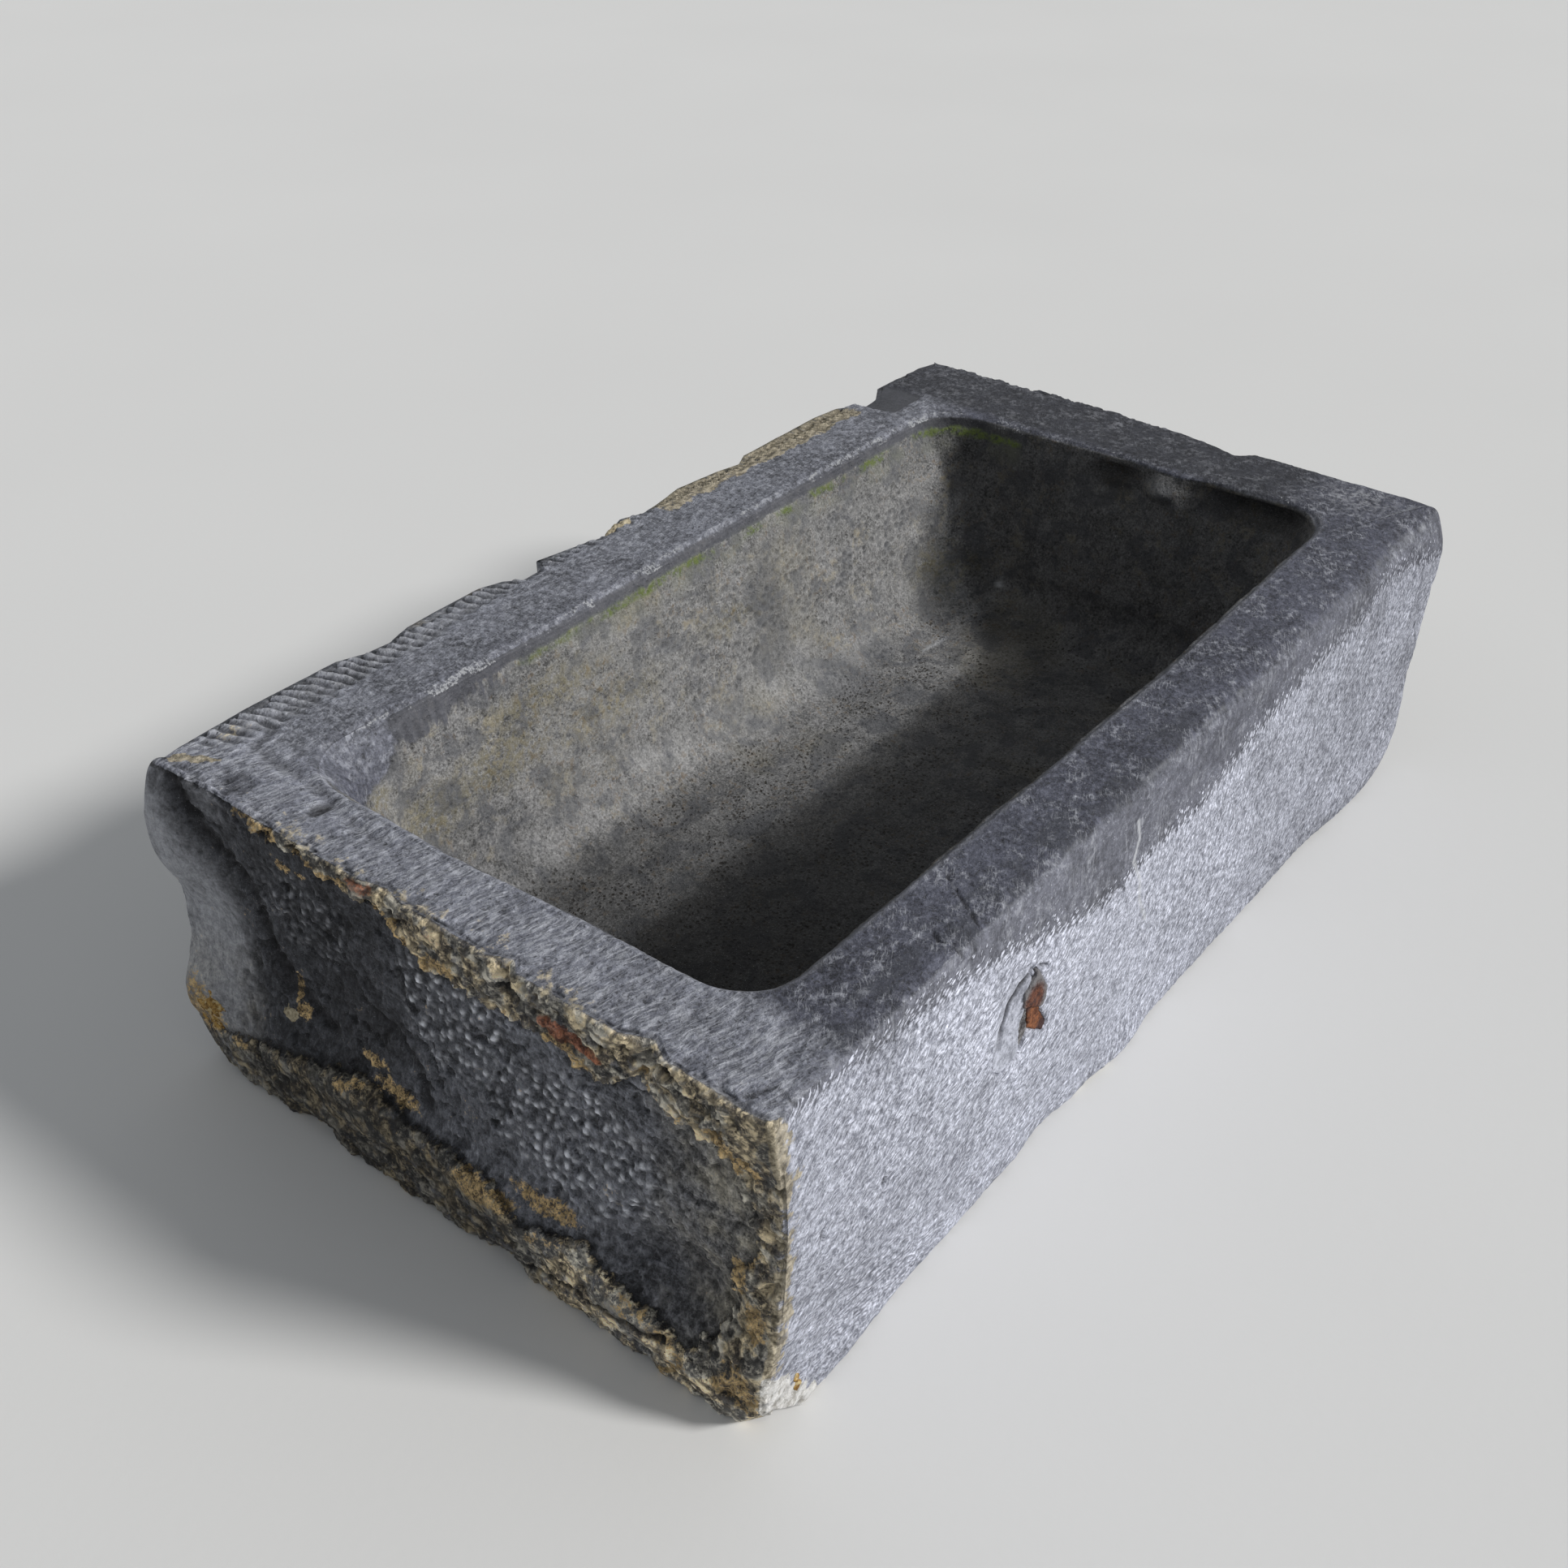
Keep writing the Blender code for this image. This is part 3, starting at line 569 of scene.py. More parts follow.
# The tooled front face, its low dents drawn out along the strokes
band_low = between(band_line, x)
tooled_front = front * ease(0.006, -0.006, z - band_low + 0.004 * jag)


def stroke_dents(chosen, across, turn, reach, pitch, lattice):
    """Depth shares of the dents of a claw, drawn out along a direction."""
    across = across[chosen]
    up = z[chosen]
    cosine = math.cos(math.radians(turn))
    sine = math.sin(math.radians(turn))
    lay = np.stack([(across * cosine + up * sine) / reach, (up * cosine - across * sine) / pitch], 1)
    close, own = lattice.cells(lay, 0.9)
    return spread(chosen, ease(0.62, 0.10, close) * (0.35 + 0.65 * own))


sloped = ease(0.13, 0.20, x + 1.1 * (z - 0.13) + 0.03 * broad)
steeper = ease(0.40, 0.58, x + 0.05 * broad)
dents = (1.0 - sloped) * stroke_dents(on_front, x, -6.0, 0.021, 0.0088, wide)
dents += sloped * (1.0 - steeper) * stroke_dents(on_front, x, 33.0, 0.016, 0.0090, mid)
dents += sloped * steeper * stroke_dents(on_front, x, 67.0, 0.017, 0.0085, fine)
rise += front * 0.0007 * broad - tooled_front * 0.0011 * dents

# The hewn far end and back, in coarser strokes
turned = ease(-0.15, 0.20, broad + 0.2 * rough)
dents = turned * stroke_dents(on_back, x + y, 58.0, 0.030, 0.0135, mid)
dents += (1.0 - turned) * stroke_dents(on_back, x + y, 128.0, 0.026, 0.0140, wide)
lumps = local(on_back, wide, flat * 13.0 + 51.0, 3)
bites = ease(0.25, 0.62, local(on_back, mid, flat * (15.0, 15.0, 22.0) + 31.0, 3))
hewn_back = most(far, back) * ease(0.012, -0.010, z - height + 0.030 + 0.006 * jag)
rise -= hewn_back * (0.0022 * dents + 0.0040 * lumps + 0.0012 * crumb + 0.0035 * bites)

# The broken near end: crusts, ledge, valley, facet, step, clefts and scars
crust_edge = z - between(crust_line, y) + 0.006 * jag + 0.0035 * crumb
crust = near * ease(-0.001, 0.003, crust_edge)
ledge_edge = between(ledge_line, y) - z + 0.005 * jag + 0.003 * crumb
ledge = near * ease(-0.001, 0.004, ledge_edge)
side_crust_edge = between(side_crust_line, z) - y + 0.008 * jag + 0.004 * crumb
side_crust = near * ease(-0.001, 0.003, side_crust_edge) * (1.0 - ledge)
rise += crust * (0.0045 + 0.0034 * jag + 0.0032 * crumb)
rise += side_crust * (0.0028 + 0.0034 * jag + 0.0030 * crumb)
rise += ledge * (0.0055 + 0.0032 * jag + 0.0034 * crumb)
valley = line_distance(y, z, valley_line)[0]
facet = near * ease(0.585, 0.635, y + 0.012 * jag) * ease(0.0, 0.05, valley)
step_away, _, _, step_side = line_distance(y, z, step_line)
step_rise = ease(0.10, 0.0, step_away) * ease(0.14, 0.17, z) * ease(0.0, 0.0025, step_away)
cleft = line_distance(y, z + 0.003 * jag, cleft_line)[0]
scar = line_distance(y, z, scar_line)[0]
streak = local(on_near, fine, np.stack([y * 170.0 + z * 60.0, z * 24.0, x * 8.0], 1), 3)
bare = (1.0 - crust) * (1.0 - ledge) * (1.0 - side_crust)
flakes = (1.0 - facet) * ease(0.26, 0.34, local(on_near, mid, flat * (30.0, 30.0, 44.0) + 77.0, 3))
rise += near * (
    0.0050 * bell((z - between(ledge_line, y) + 0.014) / 0.016) - 0.0060 * groove(valley, 0.009)
    + step_rise * np.where(step_side < 0, 0.0032, -0.0032) - 0.007 * groove(cleft, 0.0030)
    - 0.009 * blobs(y, z, (0.105, 0.098, 0.105, 0.060)) - 0.004 * blobs(y, z, (0.44, 0.165, 0.070, 0.045))
    - 0.0045 * groove(scar, 0.007) + bare * (1.0 - 0.8 * facet) * (0.0012 * streak + 0.0016 * crumb)
    - bare * 0.0024 * flakes + 0.0018 * broad + 0.0010 * rough) + facet * 0.003

# Dots of the point chisel
dot_place = np.stack([(y * 0.94 + z * 0.34) / 0.0116, (z * 0.94 - y * 0.34) / 0.0116], 1)
dot_near, dot_own = (spread(on_near, values) for values in mid.cells(dot_place[on_near], 0.72))
dot_patch = most(
    ease(1.0, 0.66, np.hypot((y - 0.335) / 0.078, (z - 0.235) / 0.074) + 0.12 * jag),
    ease(1.0, 0.66, np.hypot((y - 0.205) / 0.118, (z - 0.185) / 0.080) + 0.12 * jag),
    0.38 * ease(1.0, 0.5, np.hypot((y - 0.52) / 0.075, (z - 0.25) / 0.065)))
dots = near * dot_patch * ease(0.42, 0.05, dot_near) * (0.25 + 0.75 * dot_own) * bare
rise += 0.0016 * dots - 0.0007 * near * dot_patch * bare

# Dark notches in the near top edge, and its ragged lip
notches = near * blobs(y + 0.004 * jag, z + 0.002 * crumb, *notch_spots)
lip = on_edge * ease(0.022, 0.0, x) * ease(0.0, 0.9, 0.35 + jag + 0.5 * crumb)
rise -= 0.012 * notches + 0.0042 * lip

# The rim: soft hollows, a dished near-back corner and tool marks across its back edge
near_top = flat_top * ease(0.105, 0.085, x)
near_streak = local(near_top > 0, mid, np.stack([x * 26.0 + y * 7.0, y * 150.0 - x * 40.0, z * 8.0], 1), 3)
teeth = on_top * ease(-0.006, 0.012, y - between(teeth_line, x) + 0.006 * jag)
teeth = teeth * ease(0.03, 0.07, x) * ease(1.02, 0.98, x)
tooth_pitch = np.where(x < 0.63, 0.0125, 0.0078)
tooth = np.sin((x + 0.25 * (y - 0.68)) * 2.0 * math.pi / tooth_pitch + 2.2 * rough)
ridge_share = np.clip(0.5 + 0.5 * tooth * np.clip(0.75 + broad, 0.3, 1.2) + 0.35 * crumb, 0.0, 1.0)
edge_back = on_edge * ease(0.674, 0.694, y)
edge_bites = ease(0.05, 0.45, local(edge_back > 0, mid, np.stack([x * 36.0, y * 4.0, z * 4.0], 1) + 3.0, 3))
edge_far = (on_top | on_wall) * ease(1.186, 1.199, x) * ease(height - 0.020, height - 0.004, z)
cream_strip = (on_top | (on_wall & (facing_back > 0.5))) * ease(0.634, 0.650, x) * ease(1.010, 0.995, x)
cream_strip = cream_strip * ease(-0.004, 0.004, y - 0.656 + 0.008 * jag)
cream_strip = cream_strip * ease(height - 0.034, height - 0.018, z)
second_step = line_distance(x, y, second_step_line)[0]
rim_cracks = np.minimum.reduce([
    line_distance(x + 0.0030 * jag, y + 0.0015 * crumb, line)[0] for line in rim_crack_lines])
rim_crack = on_top * ease(0.0019, 0.0005, rim_cracks) * ease(-0.3, 0.3, rough + jag)
notch = on_top * ease(0.1, 0.4, blobs(x, y, (0.447, 0.692, 0.026, 0.024)))
rise -= on_top * rim * (0.0009 + 0.0007 * broad + 0.0005 * rough + 0.0005 * crumb)
rise += near_top * (0.00075 * near_streak - 0.0006)
rise -= teeth * (0.0056 - 0.0052 * ridge_share) + edge_back * (0.0022 + 0.0060 * edge_bites + 0.0016 * jag)
rise -= edge_far * np.clip(0.0022 + 0.0050 * rough + 0.0030 * crumb, 0.0, 0.007)
rise -= on_top * cream_strip * 0.0050 * ease(0.670, 0.696, y)
rise -= flat_top * (
    0.0028 * blobs(x, y, (0.105, 0.600, 0.075, 0.060))
    + 0.0022 * ease(0.012, 0.0, second_step) * ease(0.38, 0.45, y)
    + 0.0040 * blobs(x, y, rim_dent) * (0.8 + 0.5 * crumb) + 0.0030 * blobs(x, y, rim_pit))
rise -= 0.0014 * rim_crack + 0.009 * notch

# The basin: point-tooled back wall, lumpy far wall and a pitted floor
tool_place = np.stack([x / 0.0118, (z + y * 0.6) / 0.0108], 1)
tool_near, tool_own = (spread(on_basin, values) for values in wide.cells(tool_place[on_basin], 0.95))
tooled = basin * ease(0.30, 0.62, x + 0.06 * broad) * ease(1.03, 0.96, x) * ease(0.42, 0.50, y)
tooled = tooled * ease(0.320, 0.285, z) * ease(0.12, 0.19, z)
pecks = tooled * ease(0.52, 0.16, tool_near) * (0.25 + 0.75 * tool_own)
pits = basin * ease(0.22, 0.48, local(on_basin, fine, flat * 150.0 + 13.0, 2))
far_inner = basin * ease(0.96, 1.03, x)
fold = line_distance(x, z, fold_line)[0]
claw = basin * ease(0.10, 0.14, x) * ease(0.33, 0.29, x) * ease(0.50, 0.56, y) * ease(0.27, 0.30, z)
claw_waves = 0.5 + 0.5 * np.sin(x * 2.0 * math.pi / 0.0125 + 2.0 * rough)
pits = pits * (0.35 + 0.65 * ease(0.30, 0.20, z))
rise += basin * (0.0012 * broad + 0.0007 * rough) - 0.0017 * pecks - 0.0009 * pits
rise += far_inner * 0.0030 * local(far_inner > 0, wide, flat * 14.0 + 3.0, 3)
rise -= basin * ease(0.46, 0.50, y) * 0.0022 * groove(fold, 0.006)
rise -= claw * 0.0012 * claw_waves * ease(0.335, 0.325, z)

# No relief on the foot, less by outer corners and in the floor's middle, and none past the CAD's own box
ring_fade = np.ones(ring_total)
ring_fade[-floor_count:] = ease(0.0, 0.25, 1.0 - np.arange(1, floor_count + 1) / floor_count)
rise *= np.repeat(ring_fade, station_total)
tight = 0.0004 + 0.22 * most(half_length - np.abs(flat[:, 0]), half_width - np.abs(flat[:, 1]))
rise = (part != FOOT) * np.where(in_basin, rise, np.clip(rise, -tight, tight))
cad_low = np.array(size_before[0]) + 0.0001
cad_high = np.array(size_before[1]) - 0.0001
lean = np.where(np.abs(flat_normal) > 0.05, flat_normal, 1e9)
bounds = np.where(flat_normal > 0, cad_high, (cad_low[0], cad_low[1], -9.0))
free = np.where(lean < 1e8, (bounds - flat) / lean, 9.0)
room = np.minimum(np.maximum(free, 0.00002).min(1), 9.0)
rise = np.where(rise > 0, room * (1.0 - np.exp(-np.maximum(rise, 0.0) / room)), rise)
hewn = flat + flat_normal * rise[:, None]

# The inner edge of the rim, worn round most at the back
mouth = np.tile(mouth_line[:, :2], (ring_total, 1))
reach_out = np.hypot(*(hewn[:, :2] - mouth).T) * by_mouth
wear_radius = 0.007 + 0.005 * ease(0.2, 0.9, facing_back) + 0.003 * ease(0.3, 0.9, -facing_back)
wear_radius = wear_radius + 0.0015 * jag + 0.026 * blobs(x, y, (0.125, 0.560, 0.095, 0.110))
inner_x = np.minimum(reach_out - wear_radius, 0.0)
inner_z = np.minimum(height - hewn[:, 2] - wear_radius, 0.0)
length = np.hypot(inner_x, inner_z)
worn = (by_mouth | (part == BASIN)) & (inner_x < 0) & (inner_z < 0) & (length > wear_radius)
shrink = np.where(worn, wear_radius / np.maximum(length, 1e-9), 1.0)
hewn[:, 2] = np.where(worn, height - wear_radius - inner_z * shrink, hewn[:, 2])
hewn[:, :2] += facing * (worn * inner_x * (shrink - 1.0))[:, None]

# The block's upper corners, worn round
grid = hewn.reshape(ring_total, station_total, 3)
first_ring = np.nonzero(parts == ARRIS)[0][0] - 26
last_ring = np.nonzero(parts == RIM)[0][0] + 14
patch = grid[first_ring:last_ring]
corner_away = np.hypot(half_length - np.abs(patch[..., 0]), half_width - np.abs(patch[..., 1]))
share = 0.6 * ease(0.042, 0.016, corner_away)[..., None]
share[[0, -1]] = 0.0
for _ in range(32):
    mean = (np.roll(patch, 1, 0) + np.roll(patch, -1, 0) + np.roll(patch, 1, 1) + np.roll(patch, -1, 1)) / 4
    patch += (mean - patch) * share

# The knob on the far inner edge, and the recess under the overhanging lip beside it
knob = far_wall_part * blobs(y, z, (0.284, 0.327, 0.030, 0.020))
knob = knob * ease(0.0, 0.25, knob + 0.15 * jag)
recess = far_wall_part * blobs(y, z, (0.170, 0.329, 0.095, 0.012), (0.345, 0.329, 0.040, 0.010))
inner_lip = (far_wall_part & (z > 0.338)) * ease(0.08, 0.14, y) * ease(0.27, 0.20, y)
hewn[:, 0] += 0.012 * recess - 0.016 * knob - 0.0050 * inner_lip

# The smooth fracture sunk in the back edge
plane_start = fracture_y - fracture_width / 2
shallower = 1.0 - 0.65 * ease(fracture_x - 0.030, fracture_x + 0.034, x)
plane = height - (fracture_shallow + (y - plane_start) * fracture_fall / fracture_width) * shallower
across = np.abs(x - fracture_x + 0.0015 * jag) + 0.25 * np.clip(plane_start + 0.030 - y, 0.0, 1.0)
cut = ease(0.002, -0.005, across - fracture_length * 0.48) * ((hewn[:, 2] > 0.2) & ~in_basin)
cut = cut * ease(-0.001, 0.006, y - plane_start - 0.002 * jag)
fracture = ease(0.45, 0.75, cut) * (hewn[:, 2] > plane - 0.0005)
hewn[:, 2] += cut * np.minimum(plane + 0.0004 * rough - hewn[:, 2], 0.0)

# The iron's socket, its edge drawn onto the outline so that it's crisp, and the crack that runs on from it
socket = [(socket_near + sx * socket_width, socket_low + sz * socket_height) for sx, sz in socket_shares]
socket += socket[:1]
face = on_wall & (facing_back < -0.9)
face_x = hewn[face, 0] + half_length
face_z = hewn[face, 2]
edge_away, to_x, to_z, _ = line_distance(face_x, face_z, socket)
in_socket = inside_outline(face_x, face_z, socket)
pull = np.where(in_socket, 0.8, 0.9) * (edge_away < 0.0016)
face_x, face_z = face_x + pull * to_x, face_z + pull * to_z
crack_width = 0.0014 + 0.0018 * bell((face_x - 0.322) / 0.014) * ease(0.235, 0.247, face_z)
crack_away = line_distance(hewn[face, 0] + half_length, hewn[face, 2], crack_line)[0]
crack = ease(1.6, 0.5, crack_away / crack_width) * (~in_socket | (edge_away < 0.0016))
hewn[face] = np.stack([face_x - half_length, hewn[face, 1] + 0.012 * in_socket + 0.006 * crack, face_z], 1)
crack = spread(face, crack)
front_pits = front * blobs(x, z, *pit_spots)
hewn[:, 1] += 0.0035 * ease(0.0, 0.5, front_pits)

# Keep inside the CAD model's own box, with the foot on the floor
hewn = np.minimum(np.maximum(hewn, cad_low), cad_high)
hewn[:, 2] = np.maximum(np.where(part == FOOT, z, hewn[:, 2]), 0.0)


def smoothed(grid, reach):
    """A lattice's values averaged over neighbours, round each ring and across the rings."""
    steps = range(-reach, reach + 1)
    grid = sum(np.roll(grid, step, 1) for step in steps) / len(steps)
    rows = np.arange(len(grid))
    return sum(grid[np.clip(rows + step, 0, len(grid) - 1)] for step in steps) / len(steps)


# Masks for the stone's material: first painted light on ridges and painted shade in hollows, from the relief
rise_grid = rise.reshape(ring_total, station_total)
relief_light_and_shade = np.clip(0.5 + (rise_grid - smoothed(rise_grid, 4)).ravel() / 0.0050 * (1.0 - 0.7 * basin), 0.0, 1.0)
corner_share = blobs(x, y, (0.130, 0.560, 0.085, 0.100)) * ease(0.270, 0.325, z) * (in_basin | on_top)
corner_share = ease(0.15, 0.75, corner_share + 0.15 * rough)
basin = basin * (1.0 - corner_share)
rim = most(rim, corner_share * in_basin)

# The inside, the moss and the rim's inner edge
# Painted shade under the far wall's overhanging lip
shade_under_lip = blobs(y, z, (0.165, 0.322, 0.100, 0.018), (0.345, 0.322, 0.045, 0.016)) ** 0.5
shade_under_lip = shade_under_lip * far_wall_part * (1.0 - knob)
from_moss = line_distance(x, y, moss_line)[0]
moss = in_basin * ease(0.022, 0.008, from_moss) * bell((z - 0.3275 + 0.003 * jag) / 0.0062)
moss = moss * most(ease(-0.35, 0.25, rough + 0.6 * jag), ease(1.0, 1.03, x))
moss = np.clip(moss * 1.5, 0.0, 1.0) * ease(0.24, 0.34, x)
moss_wash = in_basin * bell((z - 0.318) / 0.022) * ease(0.03, 0.01, from_moss) * 0.35
from_mouth = np.hypot(*(flat[:, :2] - mouth).T)
worn_edge = by_mouth * ease(0.0056, 0.0012, np.abs(from_mouth - 0.005 + 0.0045 * jag + 0.002 * rough))
worn_edge = worn_edge * most(ease(0.50, 0.56, y), 0.7 * ease(1.05, 1.08, x) * ease(0.02, 0.06, y))
worn_edge = worn_edge * ease(0.11, 0.15, x) * (0.40 + 0.60 * ease(-0.3, 0.5, rough))
inner_light = by_mouth * ease(0.011, 0.003, from_mouth + 0.002 * jag) * ease(0.3, 0.9, -facing_back)
near_facet = ease(0.52, 0.57, y) * ease(0.12, 0.16, x) * ease(0.36, 0.24, x + 0.06 * rough)
dark_band = in_basin * most(
    ease(0.329, 0.333, z + 0.002 * jag) * ease(0.48, 0.55, y) * ease(0.12, 0.15, x),
    0.9 * near_facet * ease(0.300, 0.322, z + 0.016 * rough + 0.006 * jag))
# Painted shadow over the basin's front part and its far end
painted_shadow = in_basin * most(
    ease(-0.022, 0.022, between(painted_shadow_line, x) - y + 0.010 * rough), ease(1.010, 1.075, x + 0.010 * rough))
stain = basin * blobs(x + 0.012 * rough, y + 0.010 * rough, *stain_spots)
olive_stain = basin * ease(0.40, 0.48, y) * blobs(x + 0.02 * rough, z + 0.012 * jag, *olive_spots) ** 0.7

# Ochre, rust, pale edges, chips, and painted shade in hollows, clefts, notches, cracks and pits
patches = ease(-0.05, 0.35, local(on_near, wide, flat * 17.0 + 41.0, 2))
ochre = near * ease(0.0, 0.022, y) * most(
    ease(0.010, 0.002, np.abs(crust_edge - 0.004)) * (0.25 + 0.75 * patches) * ease(0.60, 0.54, y),
    0.7 * ease(0.009, 0.002, np.abs(side_crust_edge - 0.003)) * patches,
    0.60 * ledge * ease(0.014, 0.003, np.abs(ledge_edge - 0.006)) * patches,
    blobs(y + 0.004 * jag, z + 0.004 * jag, *ochre_spots) ** 0.5)
rust = near * most(
    ease(0.15, 0.6, blobs(y, z, (0.196, 0.312, 0.034, 0.018), (0.172, 0.306, 0.020, 0.012)) + 0.25 * jag),
    0.8 * blobs(y, z, (0.415, 0.338, 0.028, 0.012)), 0.5 * blobs(y, z, (0.330, 0.335, 0.024, 0.010)))
pale = front * ease(0.030, 0.004, x + 0.012 * jag + 0.008 * crumb) * ease(0.05, 0.09, z)
chip = front * most(
    ease(0.078, 0.062, x + z * 0.9 + 0.012 * jag),
    ease(0.010, 0.003, z + 0.004 * jag) * blobs(x, z, (0.500, 0.0, 0.040, 0.030)) ** 0.3)
cream_corner = line_distance(x, y, ((0.016, 0.672), (0.028, 0.654), (0.036, 0.640)))[0]
pale_back = on_top * most(
    ease(0.676, 0.690, y + 0.006 * jag) * ease(0.55, 0.58, x) * ease(0.63, 0.60, x),
    ease(0.008, 0.002, cream_corner + 0.005 * jag), 0.5 * blobs(x, y, (0.075, 0.668, 0.034, 0.020)))
# The cream strip, paler on the tooth marks' ridges as painted highlight
pale_back = most(pale_back, cream_strip * (0.45 + 0.5 * ridge_share))
pale_near = on_top * 0.50 * ease(0.66, 0.55, y) * ease(0.0, 0.03, y)
pale_near = pale_near * ease(0.040, 0.0, x + 0.022 * jag + 0.014 * crumb)
pale_near = pale_near * (0.45 + 0.55 * ease(-0.3, 0.4, wide.layers(flat * 22.0 + 17.0, 2)))
# Painted shade in the near end's hollows, clefts, valley and scars and on the step's lower side, then in
# notches, the crack, pits and rim cracks
hollow_shade = 0.30 * ease(0.0, 0.6, blobs(y, z, (0.110, 0.095, 0.120, 0.070))) * (1.0 - ledge) * (1.0 - side_crust)
step_shade = 0.6 * ease(0.014, 0.0, step_away) * ease(0.15, 0.19, z) * np.where(step_side > 0, 1.0, 0.15)
dark = near * most(
    groove(cleft, 0.004), hollow_shade, 0.55 * groove(valley, 0.007), step_shade, 0.7 * groove(scar, 0.008),
    0.45 * blobs(y, z, (0.44, 0.170, 0.090, 0.050)))
dark = most(
    dark, notches * 1.2, crack, 0.9 * ease(0.1, 0.5, front_pits), 0.5 * rim_crack,
    flat_top * 0.7 * ease(0.1, 0.5, blobs(x, y, rim_pit)))
olive = 0.9 * ease(0.15, 0.02, y + 0.03 * rough) + 0.3 * ease(0.58, 0.62, y) * ease(0.20, 0.10, z)
olive = near * np.clip(olive, 0.0, 1.0)

# Light lines, and the rim's darker and paler places
vein = front * ease(0.0032, 0.0010, line_distance(x, z, vein_line)[0] + 0.0010 * jag)
chalk = basin * ease(0.0028, 0.0008, line_distance(x, y, chalk_line)[0] + 0.0008 * jag) * ease(0.17, 0.15, z)
chalk = chalk * ease(1.09, 1.06, x) * ease(0.815, 0.83, x) * ease(-0.2, 0.3, rough)
arris_light = on_edge * 0.40 * bell((rim - 0.70) / 0.22) * ease(0.30, 0.50, x) * ease(0.0, 0.5, rough + jag)
light_marks = most(vein, 0.6 * chalk, 0.16 * knob, arris_light * ease(0.5, 0.9, -facing_back))
rim_patch = ease(-0.25, 0.25, rough + 0.6 * broad) * ease(0.035, 0.010, np.abs(y - 0.012))
rim_patch = rim_patch * ease(0.04, 0.09, x) * ease(0.72, 0.55, x)
rim_patch = most(on_top * rim_patch, flat_top * ease(0.1, 0.5, blobs(x, y, rim_dent)))
far_top = on_top * ease(1.075, 1.10, x) * ease(0.09, 0.17, y)
far_pale = 0.35 * ease(1.08, 1.11, x) * ease(-0.1, 0.5, rough + jag)
far_pale = on_top * most(far_pale, blobs(x, y, (1.150, 0.085, 0.060, 0.075)))
front_dull = front * ease(0.030, 0.0, z + 0.02 * broad) * 0.5


def signed(edge):
    """A half on a border, one at ten millimetres inside it and nothing at ten outside."""
    return np.clip(0.5 + edge / 0.020, 0.0, 1.0)


masks = {
    "faces": (front, near, rim, basin),
    "crusts": (signed(crust_edge) * near, ochre, rust, moss),
    "marks": np.clip((dots, pale + pale_back + pale_near, dark, chip), 0, 1),
    "zones": (signed((band_low - z) / 2), worn_edge, olive, pecks),
    "sides": (most(far, back), dark_band, floor, painted_shadow),
    "extras": (signed(ledge_edge) * near, most(fracture, notch), stain, olive_stain),
    "tops": (rim_patch, far_top, far_pale, light_marks),
    "edges": (signed(side_crust_edge) * near, inner_light, moss_wash, np.clip(facet, 0, 1)),
    "reliefs": (relief_light_and_shade, teeth * ridge_share, np.clip(shade_under_lip, 0, 1), front_dull),
}

# The closed mesh, with a fan of triangles over its first and last ring
index = np.arange(len(hewn)).reshape(ring_total, station_total)
following = np.roll(index, -1, 1)
quads = np.stack([index[:-1], following[:-1], following[1:], index[1:]], -1).reshape(-1, 4)
top_centre = len(hewn)
fan_top = np.stack([index[-1], following[-1], np.full(station_total, top_centre)], 1)
fan_bottom = np.stack([following[0], index[0], np.full(station_total, top_centre + 1)], 1)
points = np.concatenate([hewn, [hewn[index[-1]].mean(0)], [hewn[index[0]].mean(0)]])
corners = np.concatenate([quads.ravel(), fan_top.ravel(), fan_bottom.ravel()])
starts = np.concatenate([np.arange(len(quads)) * 4, quads.size + np.arange(2 * station_total) * 3])
stone_data = bpy.data.meshes.new("hewn_stone")
stone_data.vertices.add(len(points))
stone_data.vertices.foreach_set("co", points.astype(np.float32).ravel())
stone_data.loops.add(len(corners))
stone_data.loops.foreach_set("vertex_index", corners.astype(np.int32))
stone_data.polygons.add(len(starts))
stone_data.polygons.foreach_set("loop_start", starts.astype(np.int32))
stone_data.polygons.foreach_set("use_smooth", np.ones(len(starts), bool))
stone_data.update(calc_edges=True)
for name, layers in masks.items():
    values = np.stack(layers, 1).astype(np.float32)
    attribute = stone_data.attributes.new(name, "FLOAT_COLOR", "POINT")
    attribute.data.foreach_set("color", np.concatenate([values, values[-1:], values[:1]]).ravel())
stone = bpy.data.objects.new("hewn_stone", stone_data)
bpy.context.scene.collection.objects.link(stone)


